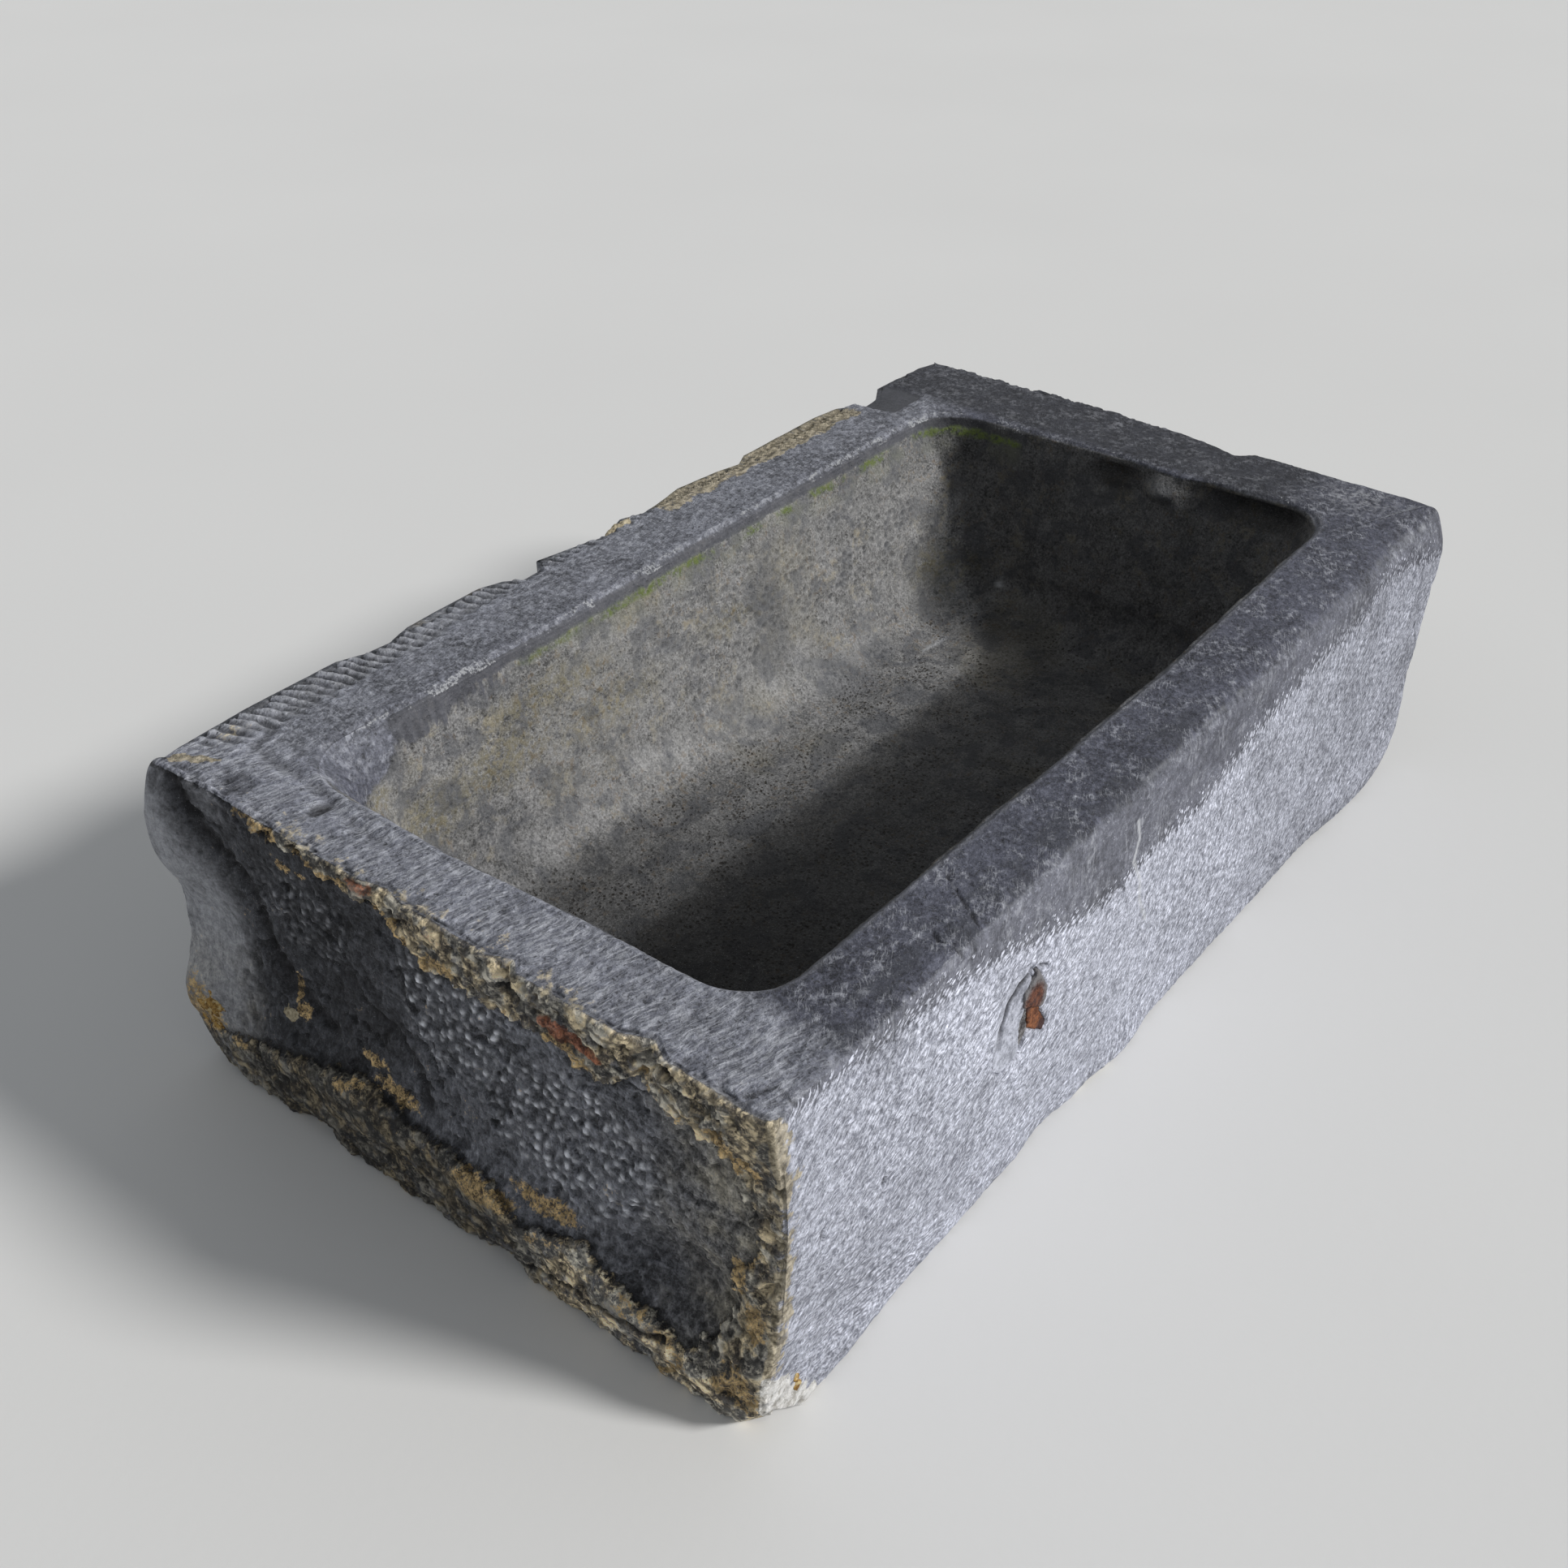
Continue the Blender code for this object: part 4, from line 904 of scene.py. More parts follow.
def map_stone():
    """A map without overlaps: a box of the unit square for each side in and out, the top and the foot."""
    inner, top, bottom = 4, 8, 9
    boxes = {
        FRONT: (0.005, 0.005, 0.990, 0.270), FAR: (0.465, 0.705, 0.270, 0.135),
        BACK: (0.465, 0.855, 0.500, 0.140), NEAR: (0.005, 0.705, 0.450, 0.225),
        FRONT + inner: (0.862, 0.285, 0.130, 0.410), FAR + inner: (0.745, 0.780, 0.250, 0.060),
        BACK + inner: (0.725, 0.285, 0.130, 0.410), NEAR + inner: (0.745, 0.705, 0.250, 0.060),
        top: (0.005, 0.285, 0.710, 0.410), bottom: (0.005, 0.940, 0.090, 0.052),
    }
    grid = hewn.reshape(rings.shape)
    step_along = np.linalg.norm(np.roll(rings[20], -1, 0) - rings[20], axis=1)
    run = np.concatenate([[0.0], np.cumsum(step_along)[:-1]])
    starts = np.array([np.nonzero((side == k) & (np.roll(side, 1) != k))[0][0] for k in range(4)])
    spans = np.array([step_along[side == k].sum() for k in range(4)])
    along = ((run - run[starts[side]]) % step_along.sum()) / spans[side]
    along = along, along + step_along / spans[side]
    climb = np.concatenate([[0.0], np.cumsum(np.linalg.norm(np.diff(grid, axis=0), axis=2).mean(1))])
    quad_part = parts[:-1, None] + np.zeros(station_total, int)
    steep = np.abs(normal[:-1, :, 2]) < 0.62
    box = np.where((quad_part == WALL) | (quad_part == ARRIS), side, top)
    box = np.where((quad_part == BASIN) & steep, side + inner, box)
    box = np.where(quad_part == FOOT, bottom, box)
    left, low, width, tall = np.array([boxes[name] for name in range(10)])[box].transpose(2, 0, 1)
    plan = (grid[..., :2] - cad_low[:2]) / (cad_high - cad_low)[:2]
    uv = np.zeros((ring_total - 1, station_total, 4, 2))
    for corner, (up_step, along_step) in enumerate(((0, 0), (0, 1), (1, 1), (1, 0))):
        rows = slice(up_step, up_step + ring_total - 1)
        u, v = np.roll(plan, -along_step, 1)[rows].transpose(2, 0, 1)
        for first_box, first_part, last_part in ((FRONT, WALL, ARRIS), (FRONT + inner, BASIN, BASIN)):
            low_climb = climb[np.nonzero(parts == first_part)[0][0]]
            high_climb = climb[np.nonzero(parts == last_part)[0][-1] + 1]
            on_side = (box >= first_box) & (box < first_box + 4)
            u = np.where(on_side, along[along_step], u)
            v = np.where(on_side, (climb[rows, None] - low_climb) / (high_climb - low_climb), v)
        turned = (box == FRONT + inner) | (box == BACK + inner)
        u, v = np.where(turned, v, u), np.where(turned, u, v)
        uv[..., corner, 0] = left + width * u
        uv[..., corner, 1] = low + tall * v
    plan = np.concatenate([plan.reshape(-1, 2), plan[-1:].mean(1), plan[:1].mean(1)])
    fan_corners = ((top, fan_top), (bottom, fan_bottom))
    fans = [boxes[name][:2] + boxes[name][2:] * plan[corners] for name, corners in fan_corners]
    uv = np.concatenate([part.ravel() for part in (uv, *fans)]).astype(np.float32)
    stone_data.uv_layers.new(name="OFBake").data.foreach_set("uv", uv)


map_stone()


# Tones of the stone, as linear colours
NEAR_STONE = (0.072, 0.075, 0.086)
BASIN_STONE = (0.232, 0.231, 0.234)
HEWN_STONE = (0.125, 0.130, 0.146)
FACET_STONE = (0.290, 0.298, 0.325)
RIM_FRONT = (0.081, 0.085, 0.112)
RIM_BACK = (0.165, 0.172, 0.202)
RIM_NEAR = (0.154, 0.161, 0.196)
RIM_FAR = (0.036, 0.038, 0.047)
FRONT_GAP = (0.215, 0.225, 0.272)
FRONT_DASH = (0.800, 0.825, 0.950)


class Tone:
    """What a node gives, for sums of nodes that read as sums."""

    def __init__(self, graph, socket):
        self.graph = graph
        self.socket = socket

    def __add__(self, other):
        return self.graph.math("ADD", self, other)

    def __sub__(self, other):
        return self.graph.math("SUBTRACT", self, other)

    def __rsub__(self, other):
        return self.graph.math("SUBTRACT", other, self)

    def __mul__(self, other):
        return self.graph.math("MULTIPLY", self, other)

    def outputs(self):
        """All that the node gives."""
        return [Tone(self.graph, socket) for socket in self.socket.node.outputs]

    def span(self, low, high, start=0.0, end=1.0):
        """Start below low, end above high, smooth between; low may be the larger."""
        inputs = {"Value": self, "From Min": low, "From Max": high, "To Min": start, "To Max": end}
        return self.graph.out("ShaderNodeMapRange", inputs, interpolation_type="SMOOTHSTEP")

    def lack(self):
        """What is missing to one."""
        return self.graph.math("SUBTRACT", 1.0, self, clamp=True)


class Graph:
    """A tree's nodes, made by short calls."""

    def __init__(self, owner):
        owner.use_nodes = True
        self.tree = owner.node_tree
        self.tree.nodes.clear()
        self.owner = owner

    def add(self, kind, inputs=(), **settings):
        node = self.tree.nodes.new(kind)
        for name, value in settings.items():
            setattr(node, name, value)
        for name, value in dict(inputs).items():
            self.put(node.inputs[name], value)
        return node

    def out(self, kind, inputs=(), output=0, **settings):
        return Tone(self, self.add(kind, inputs, **settings).outputs[output])

    def put(self, socket, value):
        if isinstance(value, Tone):
            self.tree.links.new(value.socket, socket)
        elif isinstance(value, tuple) and len(value) == 3 and socket.type == "RGBA":
            socket.default_value = (*value, 1.0)
        else:
            socket.default_value = value

    def math(self, operation, *values, clamp=False):
        return self.out("ShaderNodeMath", dict(enumerate(values)), operation=operation, use_clamp=clamp)

    def most(self, first, *others):
        for other in others:
            first = self.math("MAXIMUM", first, other)
        return first

    def mix(self, share, low, high):
        return self.out("ShaderNodeMix", {0: share, 6: low, 7: high}, 2, data_type="RGBA", clamp_factor=True)

    def laid(self, colour, *coats):
        """A colour under coats, each one a share and a colour."""
        for share, coat in coats:
            colour = self.mix(share, colour, coat)
        return colour

    def moved(self, first, operation, second):
        return self.out("ShaderNodeVectorMath", {0: first, 1: second}, operation=operation)

    def shade(self, colour, factor):
        return self.out("ShaderNodeVectorMath", {0: colour, "Scale": factor}, operation="SCALE")

    def noise(self, size, detail=3.0, rough=0.55, place=None, bend=0.0):
        inputs = {"Vector": place or self.place, "Scale": 1.0 / size, "Detail": detail, "Roughness": rough}
        return self.out("ShaderNodeTexNoise", {**inputs, "Distortion": bend})

    def cells(self, size, place=None, randomness=1.0, **settings):
        """Distance to a cell's middle, or to its edge."""
        inputs = {"Vector": place or self.place, "Scale": 1.0 / size, "Randomness": randomness}
        return self.out("ShaderNodeTexVoronoi", inputs, **settings)

    def masks(self, name):
        """The four layers of one of the mesh's masks."""
        colour = self.out("ShaderNodeAttribute", attribute_name=name, attribute_type="GEOMETRY")
        return (*self.out("ShaderNodeSeparateColor", {"Color": colour}).outputs(), colour.outputs()[3])


class Look(Graph):
    """A material's nodes."""

    def __init__(self, name):
        super().__init__(bpy.data.materials.new(name))
        self.place = self.out("ShaderNodeTexCoord", output="Object")
        self.axes = self.out("ShaderNodeSeparateXYZ", {"Vector": self.place}).outputs()

    def finish(self, colour, roughness, height, distance, strength=1.0, specular=0.5):
        bump = self.out("ShaderNodeBump", {"Height": height, "Distance": distance, "Strength": strength})
        inputs = {"Base Color": colour, "Roughness": roughness, "Normal": bump}
        shader = self.out("ShaderNodeBsdfPrincipled", {**inputs, "Specular IOR Level": specular})
        self.add("ShaderNodeOutputMaterial", {0: shader})
        return self.owner


def stone_material():
    """Blue-grey hewn stone with its strokes, scratches, dots, crust and stains."""
    g = Look("hewn_stone")
    front_f, near_f, top_f, basin_f = g.masks("faces")
    crust_f, ochre_f, rust_f, moss_f = g.masks("crusts")
    dots_f, pale_f, recess_shade_f, chip_f = g.masks("marks")
    tooled_f, worn_f, olive_f, pecks_f = g.masks("zones")
    hewn_f, dark_band_f, floor_f, painted_shadow_f = g.masks("sides")
    ledge_f, smooth_f, stain_f, olive_stain_f = g.masks("extras")
    patch_f, far_top_f, far_pale_f, light_f = g.masks("tops")
    side_f, inner_light_f, wash_f, facet_f = g.masks("edges")
    relief_light_and_shade_f, tooth_ridge_light_f, shade_under_lip_f, dull_f = g.masks("reliefs")
    place_x, place_y, place_z = g.axes
    on_front = (place_x, place_z)
    on_end = (place_y, place_z)
    on_rim = (place_x, place_y)
    on_back = (place_x + place_y, place_z)
    large = g.noise(0.17)
    middle = g.noise(0.034, 4.0, 0.60)
    small = g.noise(0.0075, 5.0, 0.66)
    fine_grain = g.noise(0.0026, 4.0, 0.72)
    speck = g.noise(0.0012, 2.0, 0.7)
    large_off = large - 0.5
    middle_off = middle - 0.5
    small_off = small - 0.5
    fine_off = fine_grain - 0.5
    rag = small * 0.65 + fine_grain * 0.35 - 0.5
    wobble = g.out("ShaderNodeTexNoise", {"Vector": g.place, "Scale": 24.0, "Detail": 3.0}, "Color")
    bend = g.shade(g.moved(wobble, "SUBTRACT", (0.5, 0.5, 0.5)), 0.016)
    bent = g.moved(g.place, "ADD", bend)

    def ragged(mask, amount=0.9, width=0.07):
        return (mask + rag * amount).span(0.5 - width, 0.5 + width)

    def mottled(colour, by_large, by_middle, by_small, by_fine):
        total = large_off * by_large + middle_off * by_middle + small_off * by_small + fine_off * by_fine
        return g.shade(colour, g.most(g.math("ADD", 1.0, total), 0.25))

    def own_tone(cell):
        """A cell's own brightness."""
        return g.out("ShaderNodeSeparateColor", {"Color": cell.outputs()[1]})

    def lay(plane, turn, reach, pitch, shift):
        """Coordinates in a face's plane, turned and drawn out along a direction."""
        place = g.moved(g.out("ShaderNodeCombineXYZ", {0: plane[0], 1: plane[1], 2: shift}), "ADD", bend)
        inputs = {"Vector": place, "Rotation": (0.0, 0.0, math.radians(turn)), "Scale": (reach, pitch, 0.02)}
        return g.out("ShaderNodeMapping", inputs, vector_type="TEXTURE")

    def strokes(plane, turn, reach, pitch, shift):
        """Short parallel strokes of a claw: a light dash with its own brightness in each drawn-out cell."""
        cell = g.cells(1.0, lay(plane, turn, reach, pitch, shift), 0.95, voronoi_dimensions="2D")
        return cell.span(0.62, 0.10) * own_tone(cell).span(0.0, 0.9, 0.25, 1.0)

    def scratches(plane, turn, reach, pitch, shift, low=0.40, high=0.64):
        """Noise drawn out along a direction, its peaks kept."""
        return g.noise(1.0, 4.0, 0.62, lay(plane, turn, reach, pitch, shift)).span(low, high)

    # The near end's dark stone, and its smooth paler facet
    streak_near = scratches(on_end, 84.0, 0.022, 0.0026, 0.1, 0.50, 0.72)
    streak_cross = scratches(on_end, 118.0, 0.015, 0.0020, 0.9, 0.56, 0.74)
    veil = (streak_near * 0.75 + streak_cross * 0.5) * middle.span(0.34, 0.62) * facet_f.lack()
    veil = veil * large.span(0.40, 0.60, 0.35, 0.8)
    colour = g.mix(veil, mottled(NEAR_STONE, 1.0, 2.2, 3.2, 3.0), (0.340, 0.352, 0.390))
    colour = g.shade(colour, place_y.span(0.16, -0.18, 0.56, 1.95))
    colour = g.mix(facet_f, colour, mottled(FACET_STONE, 0.6, 1.1, 1.6, 1.4))

    # The back and the far end
    hewn_strokes = strokes(on_back, 58.0, 0.013, 0.0046, 0.3) * large.span(0.44, 0.54) * 0.8
    hewn_strokes = hewn_strokes + strokes(on_back, 128.0, 0.012, 0.0048, 0.6) * large.span(0.54, 0.44) * 0.8
    hewn_strokes = (hewn_strokes + small.span(0.46, 0.62) * 0.35) * middle.span(0.38, 0.58, 0.25, 1.0)
    hewn_colour = g.laid(
        mottled(HEWN_STONE, 1.2, 2.0, 2.2, 1.8), (hewn_strokes, (0.38, 0.39, 0.42)),
        (middle.span(0.52, 0.64) * large.span(0.46, 0.60) * 0.55, (0.20, 0.165, 0.105)))
    colour = g.mix(hewn_f, colour, hewn_colour)

    # The basin: neutral grey with brown grains, olive stains, pores and dark blotches
    olive_share = g.most(olive_stain_f * small.span(0.36, 0.60), large.span(0.54, 0.66) * 0.35)
    brown = small.span(0.54, 0.62) * g.noise(0.060, 3.0, 0.6).span(0.42, 0.60)
    tan_share = g.noise(0.042, 4.0, 0.65).span(0.54, 0.64) * small.span(0.40, 0.56) * floor_f.lack() * 0.50
    pore = g.cells(0.0056, bent).span(0.33, 0.20) * g.noise(0.045, 3.0, 0.6).span(0.40, 0.56)
    pore = pore * floor_f.span(0.0, 1.0, 0.35, 1.0)
    stain_share = (stain_f + middle_off * 1.1 + rag * 0.8).span(0.25, 0.85)
    basin_colour = g.laid(
        mottled(BASIN_STONE, 0.8, 1.5, 2.0, 3.6), (olive_share * 0.72, (0.185, 0.160, 0.078)),
        (brown * 0.60, (0.150, 0.105, 0.055)), (tan_share, (0.340, 0.300, 0.210)),
        (pore * 0.85, (0.040, 0.032, 0.022)),
        (g.noise(0.0036, 2.0, 0.6).span(0.60, 0.68) * 0.40, (0.46, 0.46, 0.45)),
        (g.noise(0.038, 4.0, 0.6, bend=0.5).span(0.50, 0.60) * 0.60, (0.105, 0.110, 0.125)),
        (pecks_f * 0.42, (0.085, 0.089, 0.098)),
        (pecks_f.lack() * pecks_f.span(-0.01, 0.05) * 0.25, (0.34, 0.34, 0.33)),
        (stain_share * 0.45, (0.085, 0.090, 0.104)))
    # Painted shade on the floor towards the near end, and low on the basin's near part
    floor_shade = floor_f * place_x.span(-0.45, 0.30, 0.58, 0.10)
    low_shade = place_z.span(0.27, 0.16) * place_x.span(-0.42, -0.05, 0.26, 0.0)
    basin_colour = g.shade(g.shade(basin_colour, 1.0 - floor_shade), 1.0 - low_shade)
    band_streaks = scratches(on_front, 82.0, 0.030, 0.0060, 0.4, 0.35, 0.65)
    band_share = (dark_band_f + (band_streaks - 0.5) * 0.45 + rag * 0.7).span(0.25, 0.80)
    basin_colour = g.mix(band_share * 0.90, basin_colour, mottled((0.082, 0.085, 0.102), 0.4, 0.8, 0.9, 0.6))
    # Painted shadow over the basin's front part and far end
    basin_colour = g.shade(basin_colour, painted_shadow_f.span(0.0, 1.0, 1.0, 0.40))
    # Painted shade under the far wall's overhanging lip
    basin_colour = g.shade(basin_colour, shade_under_lip_f.span(0.0, 1.0, 1.0, 0.35))
    colour = g.mix(basin_f, colour, basin_colour)

    # Strokes of the front, in three directions that give way to each other, and long lines by its near edge
    drift = (g.noise(0.10, 2.0) - 0.5) * 0.22
    to_slant = (place_x + place_z * 1.1 + drift).span(-0.40, -0.30)
    to_steep = (place_x + drift).span(-0.22, 0.0)

    def along_front(make, reach, pitch):
        turns = (-7.0, 34.0, 67.0)
        flat, slanting, steep = (make(on_front, turn, reach, pitch, turn / 90.0) for turn in turns)
        return (flat * to_slant.lack() + slanting * to_slant) * to_steep.lack() + steep * to_steep

    by_edge = place_x.span(-0.50, -0.56)
    front_dash = along_front(strokes, 0.0080, 0.0037) * (by_edge * 0.7).lack()
    front_dash = front_dash + scratches(on_front, 46.0, 0.034, 0.0034, 0.6, 0.42, 0.62) * by_edge * 0.6
    front_fine = along_front(scratches, 0.0075, 0.0021)

    # The rim: dark blue-grey under clouds and veils of light scratches
    near_rim = place_x.span(-0.495, -0.530)
    rim_along = place_y.span(0.19, 0.27)
    cloud = g.noise(0.032, 4.0, 0.62, bend=0.4)
    scratch_near = scratches(on_rim, -13.0, 0.021, 0.0036, 0.1, 0.42, 0.64) * 0.62
    scratch_near = scratch_near + scratches(on_rim, -22.0, 0.010, 0.0018, 0.5, 0.48, 0.66) * 0.50
    scratch_near = (scratch_near + small.span(0.44, 0.60) * 0.22) * cloud.span(0.34, 0.60, 0.42, 1.20)
    front_lines = g.most(
        scratches(on_rim, 34.0, 0.011, 0.0017, 0.2, 0.50, 0.64),
        scratches(on_rim, -72.0, 0.008, 0.0015, 0.7, 0.56, 0.68))
    scratch_front = (front_lines + small.span(0.50, 0.62)) * 0.62 * cloud.span(0.46, 0.60, 0.08, 0.80)
    scratch_back = scratches(on_rim, 8.0, 0.012, 0.0022, 0.3, 0.50, 0.68) * 0.40
    scratch_back = scratch_back + scratches(on_rim, 82.0, 0.012, 0.0024, 0.8, 0.52, 0.68) * 0.35
    scratch_back = (scratch_back + small.span(0.48, 0.60) * 0.30) * cloud.span(0.36, 0.58, 0.45, 1.1)
    light_side = scratch_front * rim_along.lack() + scratch_back * rim_along
    scratch = (scratch_near * near_rim + light_side * near_rim.lack()) * far_top_f.span(0.0, 1.0, 1.0, 0.35)
    rim_base = g.mix(near_rim, g.mix(rim_along, RIM_FRONT, RIM_BACK), RIM_NEAR)
    pit_share = g.noise(0.0040, 3.0, 0.6).span(0.60, 0.66) * cloud.span(0.60, 0.44, 0.2, 0.8)
    # The rim's colour, with painted highlight on the ridges of the back edge's tooth marks
    rim_colour = g.laid(
        mottled(rim_base, 0.9, 1.6, 2.6, 2.6),
        (ragged(patch_f * 0.9, 1.3, 0.15) * 0.62, (0.050, 0.053, 0.066)),
        (far_top_f, mottled(RIM_FAR, 0.6, 1.2, 2.0, 1.6)),
        (far_pale_f * small.span(0.42, 0.58) * 0.8, (0.28, 0.285, 0.31)),
        (scratch * 0.80, (0.50, 0.515, 0.57)), (inner_light_f * 0.5, (0.21, 0.215, 0.235)),
        (tooth_ridge_light_f * 0.40, (0.360, 0.365, 0.375)), (pit_share, (0.045, 0.046, 0.052)))
    soft_edge = place_x.span(-0.32, -0.20, 0.16, 0.42) + near_rim * -0.06
    rim_mask = top_f + rag * 0.9 + (front_dash - 0.35) * front_f * -0.50
    rim_share = g.out("ShaderNodeMapRange", {
        "Value": rim_mask, "From Min": 0.5 - soft_edge, "From Max": g.math("ADD", 0.5, soft_edge)})
    colour = g.mix(rim_share, colour, rim_colour)

    # The front: a light dressed face, and the smooth dark band above it
    bright = place_x.span(-0.56, -0.22, 0.93, 1.10) + place_x.span(-0.10, 0.45, 0.0, -0.34)
    bright = bright + large_off * 0.8 + middle_off * 0.8 + dull_f * -0.3
    dash_share = front_dash * 0.60 + front_fine * 0.46 + fine_off * 2.4 + small_off * 1.0 + 0.02
    band_tone = g.mix(place_x.span(-0.35, 0.25), (0.132, 0.137, 0.168), (0.096, 0.100, 0.126))
    band_flecks = g.most(fine_grain.span(0.58, 0.68) * middle.span(0.40, 0.56) * 0.8, scratch_front * 0.60)
    tooled_share = (tooled_f + (front_dash - 0.30) * 0.65 + rag * 0.9).span(0.38, 0.62)
    front_colour = g.laid(
        mottled(band_tone, 0.9, 1.3, 1.9, 1.8), (band_flecks, (0.46, 0.475, 0.52)),
        (tooled_share, g.shade(g.mix(dash_share, FRONT_GAP, FRONT_DASH), bright)))
    front_share = front_f * rim_share.lack()

    # Near end: dots of the point chisel, olive staining, tan crust, ochre and rust
    upper = g.most(ragged(crust_f, 1.3), ragged(side_f, 1.3))
    lower = ragged(ledge_f, 1.3)
    crust_share = near_f * g.most(upper, lower)
    crust_level = g.most(upper * 1.55, lower * place_y.span(-0.02, -0.20, 0.72, 2.5), 0.5)
    chunk_tone = own_tone(g.cells(0.017, bent))
    gap = g.cells(0.017, bent, feature="DISTANCE_TO_EDGE").span(0.02, 0.16)
    crust_tone = (chunk_tone - 0.5) * 0.085 + middle * 0.30 + small * 0.42 + fine_grain * 0.28
    crust_tone = crust_tone.span(0.43, 0.57) * gap.span(0.0, 1.0, 0.30, 1.0)
    tan_crust = g.mix(crust_tone, (0.038, 0.033, 0.028), (0.540, 0.450, 0.295))
    grey_crust = g.mix(crust_tone, (0.045, 0.044, 0.042), (0.420, 0.395, 0.335))
    crust_colour = g.mix(g.noise(0.022, 3.0, 0.6).span(0.44, 0.56), tan_crust, grey_crust)
    crust_colour = g.shade(crust_colour, crust_level)
    bald = g.noise(0.013, 4.0, 0.65).span(0.36, 0.46, 0.35, 1.0)
    even = small * 0.5 + fine_grain * 0.5
    ochre_share = (ochre_f + rag * 2.6 + middle_off * 1.6).span(0.42, 0.70)
    ochre_share = ochre_share * fine_grain.span(0.38, 0.50, 0.25, 1.0)
    rust_colour = g.mix(even.span(0.42, 0.60), (0.085, 0.030, 0.018), (0.420, 0.150, 0.075))
    colour = g.laid(
        colour, (front_share, front_colour),
        (dots_f * small.span(0.34, 0.60, 0.35, 1.0) * 0.95, (0.72, 0.735, 0.79)),
        (olive_f * middle.span(0.36, 0.60, 0.30, 0.85), mottled((0.290, 0.265, 0.200), 0.6, 1.8, 4.2, 3.4)),
        (crust_share * bald * 0.94, crust_colour),
        (ochre_share * near_f, g.mix(even.span(0.40, 0.60), (0.090, 0.058, 0.028), (0.620, 0.450, 0.225))),
        ((rust_f + rag * 2.2).span(0.30, 0.85) * 0.85, rust_colour))

    # Moss, the worn white line above it, pale edges, chips, painted shade in hollows, painted light on
    # ridges, and specks of the grain all over
    worn_share = (worn_f * 0.85 + fine_off * 3.0 + rag * 1.4).span(0.66, 0.90) * 0.85
    pale_colour = g.mix(small.span(0.40, 0.60), (0.20, 0.170, 0.110), (0.54, 0.470, 0.340))
    chip_colour = g.mix(small.span(0.34, 0.58), (0.42, 0.40, 0.36), (0.78, 0.77, 0.75))
    moss_colour = g.mix(small, (0.045, 0.075, 0.014), (0.170, 0.215, 0.055))
    colour = g.laid(
        colour, (wash_f * middle.span(0.40, 0.60), (0.165, 0.170, 0.110)),
        (moss_f * small.span(0.38, 0.56, 0.15, 0.9), moss_colour),
        (worn_share, (0.40, 0.41, 0.43)), ((pale_f + rag * 1.8).span(0.36, 0.62) * 0.85, pale_colour),
        ((chip_f + rag * 1.4).span(0.35, 0.60) * 0.9, chip_colour), (light_f * 0.75, (0.55, 0.565, 0.60)),
        (ragged(smooth_f, 0.3, 0.2), mottled((0.050, 0.053, 0.064), 0.4, 0.5, 0.5, 0.4)),
        # Painted shade in hollows, clefts, notches, cracks and pits
        (recess_shade_f * 0.86, (0.016, 0.015, 0.016)))
    # Painted light on the relief's ridges and painted shade in its hollows
    colour = g.shade(colour, relief_light_and_shade_f.span(0.05, 0.95, 0.45, 1.55))
    colour = g.laid(
        colour, (speck.span(0.64, 0.72) * middle.span(0.35, 0.60, 0.3, 1.0) * 0.42, (0.58, 0.585, 0.61)),
        (speck.span(0.36, 0.28) * 0.40, (0.020, 0.020, 0.022)))

    calm = g.most(smooth_f, facet_f * 0.5, dark_band_f * 0.6)
    tooled_now = front_share * tooled_share
    plain_now = g.most(calm, front_share * tooled_share.lack() * 0.5).lack()
    relief = (
        front_dash * tooled_now * 0.70 + front_fine * tooled_now * 0.20 + scratch * top_f * 0.28
        + small * plain_now * 1.25 + middle * 0.8 + fine_grain * plain_now * 0.55 + crust_share * small * 1.4
        + crust_share * gap * 0.8 + streak_near * near_f * 0.30 + hewn_strokes * hewn_f * 0.7
        + pore * basin_f * -0.80
    )
    rough = (calm + tooled_share.lack() * front_share * 0.6).span(0.0, 1.0, 0.88, 0.58)
    return g.finish(colour, rough, relief, 0.0020, specular=0.3)


stone_data.materials.append(stone_material())
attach(stone, "root")
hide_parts("trough_block")


def lump_material(name, dark, light, grain, rough=0.9, specks=None, edge=None, contrast=0.10, cracked=False):
    """A crumbly mass of two tones with grains."""
    g = Look(name)
    middle = g.noise(0.012, 4.0, 0.65)
    small = g.noise(grain * 2.5, 4.0, 0.7)
    fine_grain = g.noise(grain, 3.0, 0.7)
    tone = (middle * 0.40 + small * 0.35 + fine_grain * 0.25).span(0.5 - contrast, 0.5 + contrast)
    colour = g.mix(tone, dark, light)
    if specks:
        colour = g.mix(g.noise(0.005, 3.0, 0.6).span(0.52, 0.60) * 0.8, colour, specks)
    if edge:
        x0, z0, reach_x, reach_z, edge_colour = edge
        off_x = g.math("DIVIDE", g.axes[0] - x0, reach_x)
        off_z = g.math("DIVIDE", g.axes[2] - z0, reach_z)
        away = g.math("SQRT", off_x * off_x + off_z * off_z)
        colour = g.mix((away + (small - 0.5) * 0.9).span(0.70, 1.15), colour, edge_colour)
    if cracked:
        # Painted shade in the gap along the crack
        colour = g.mix(g.masks("cracks")[0], colour, (0.012, 0.011, 0.012))
    relief = middle * 0.8 + small * 0.7 + fine_grain * 0.3 + g.cells(grain * 1.6) * 0.3
    return g.finish(colour, rough, relief, 0.0012, strength=0.9, specular=0.25)


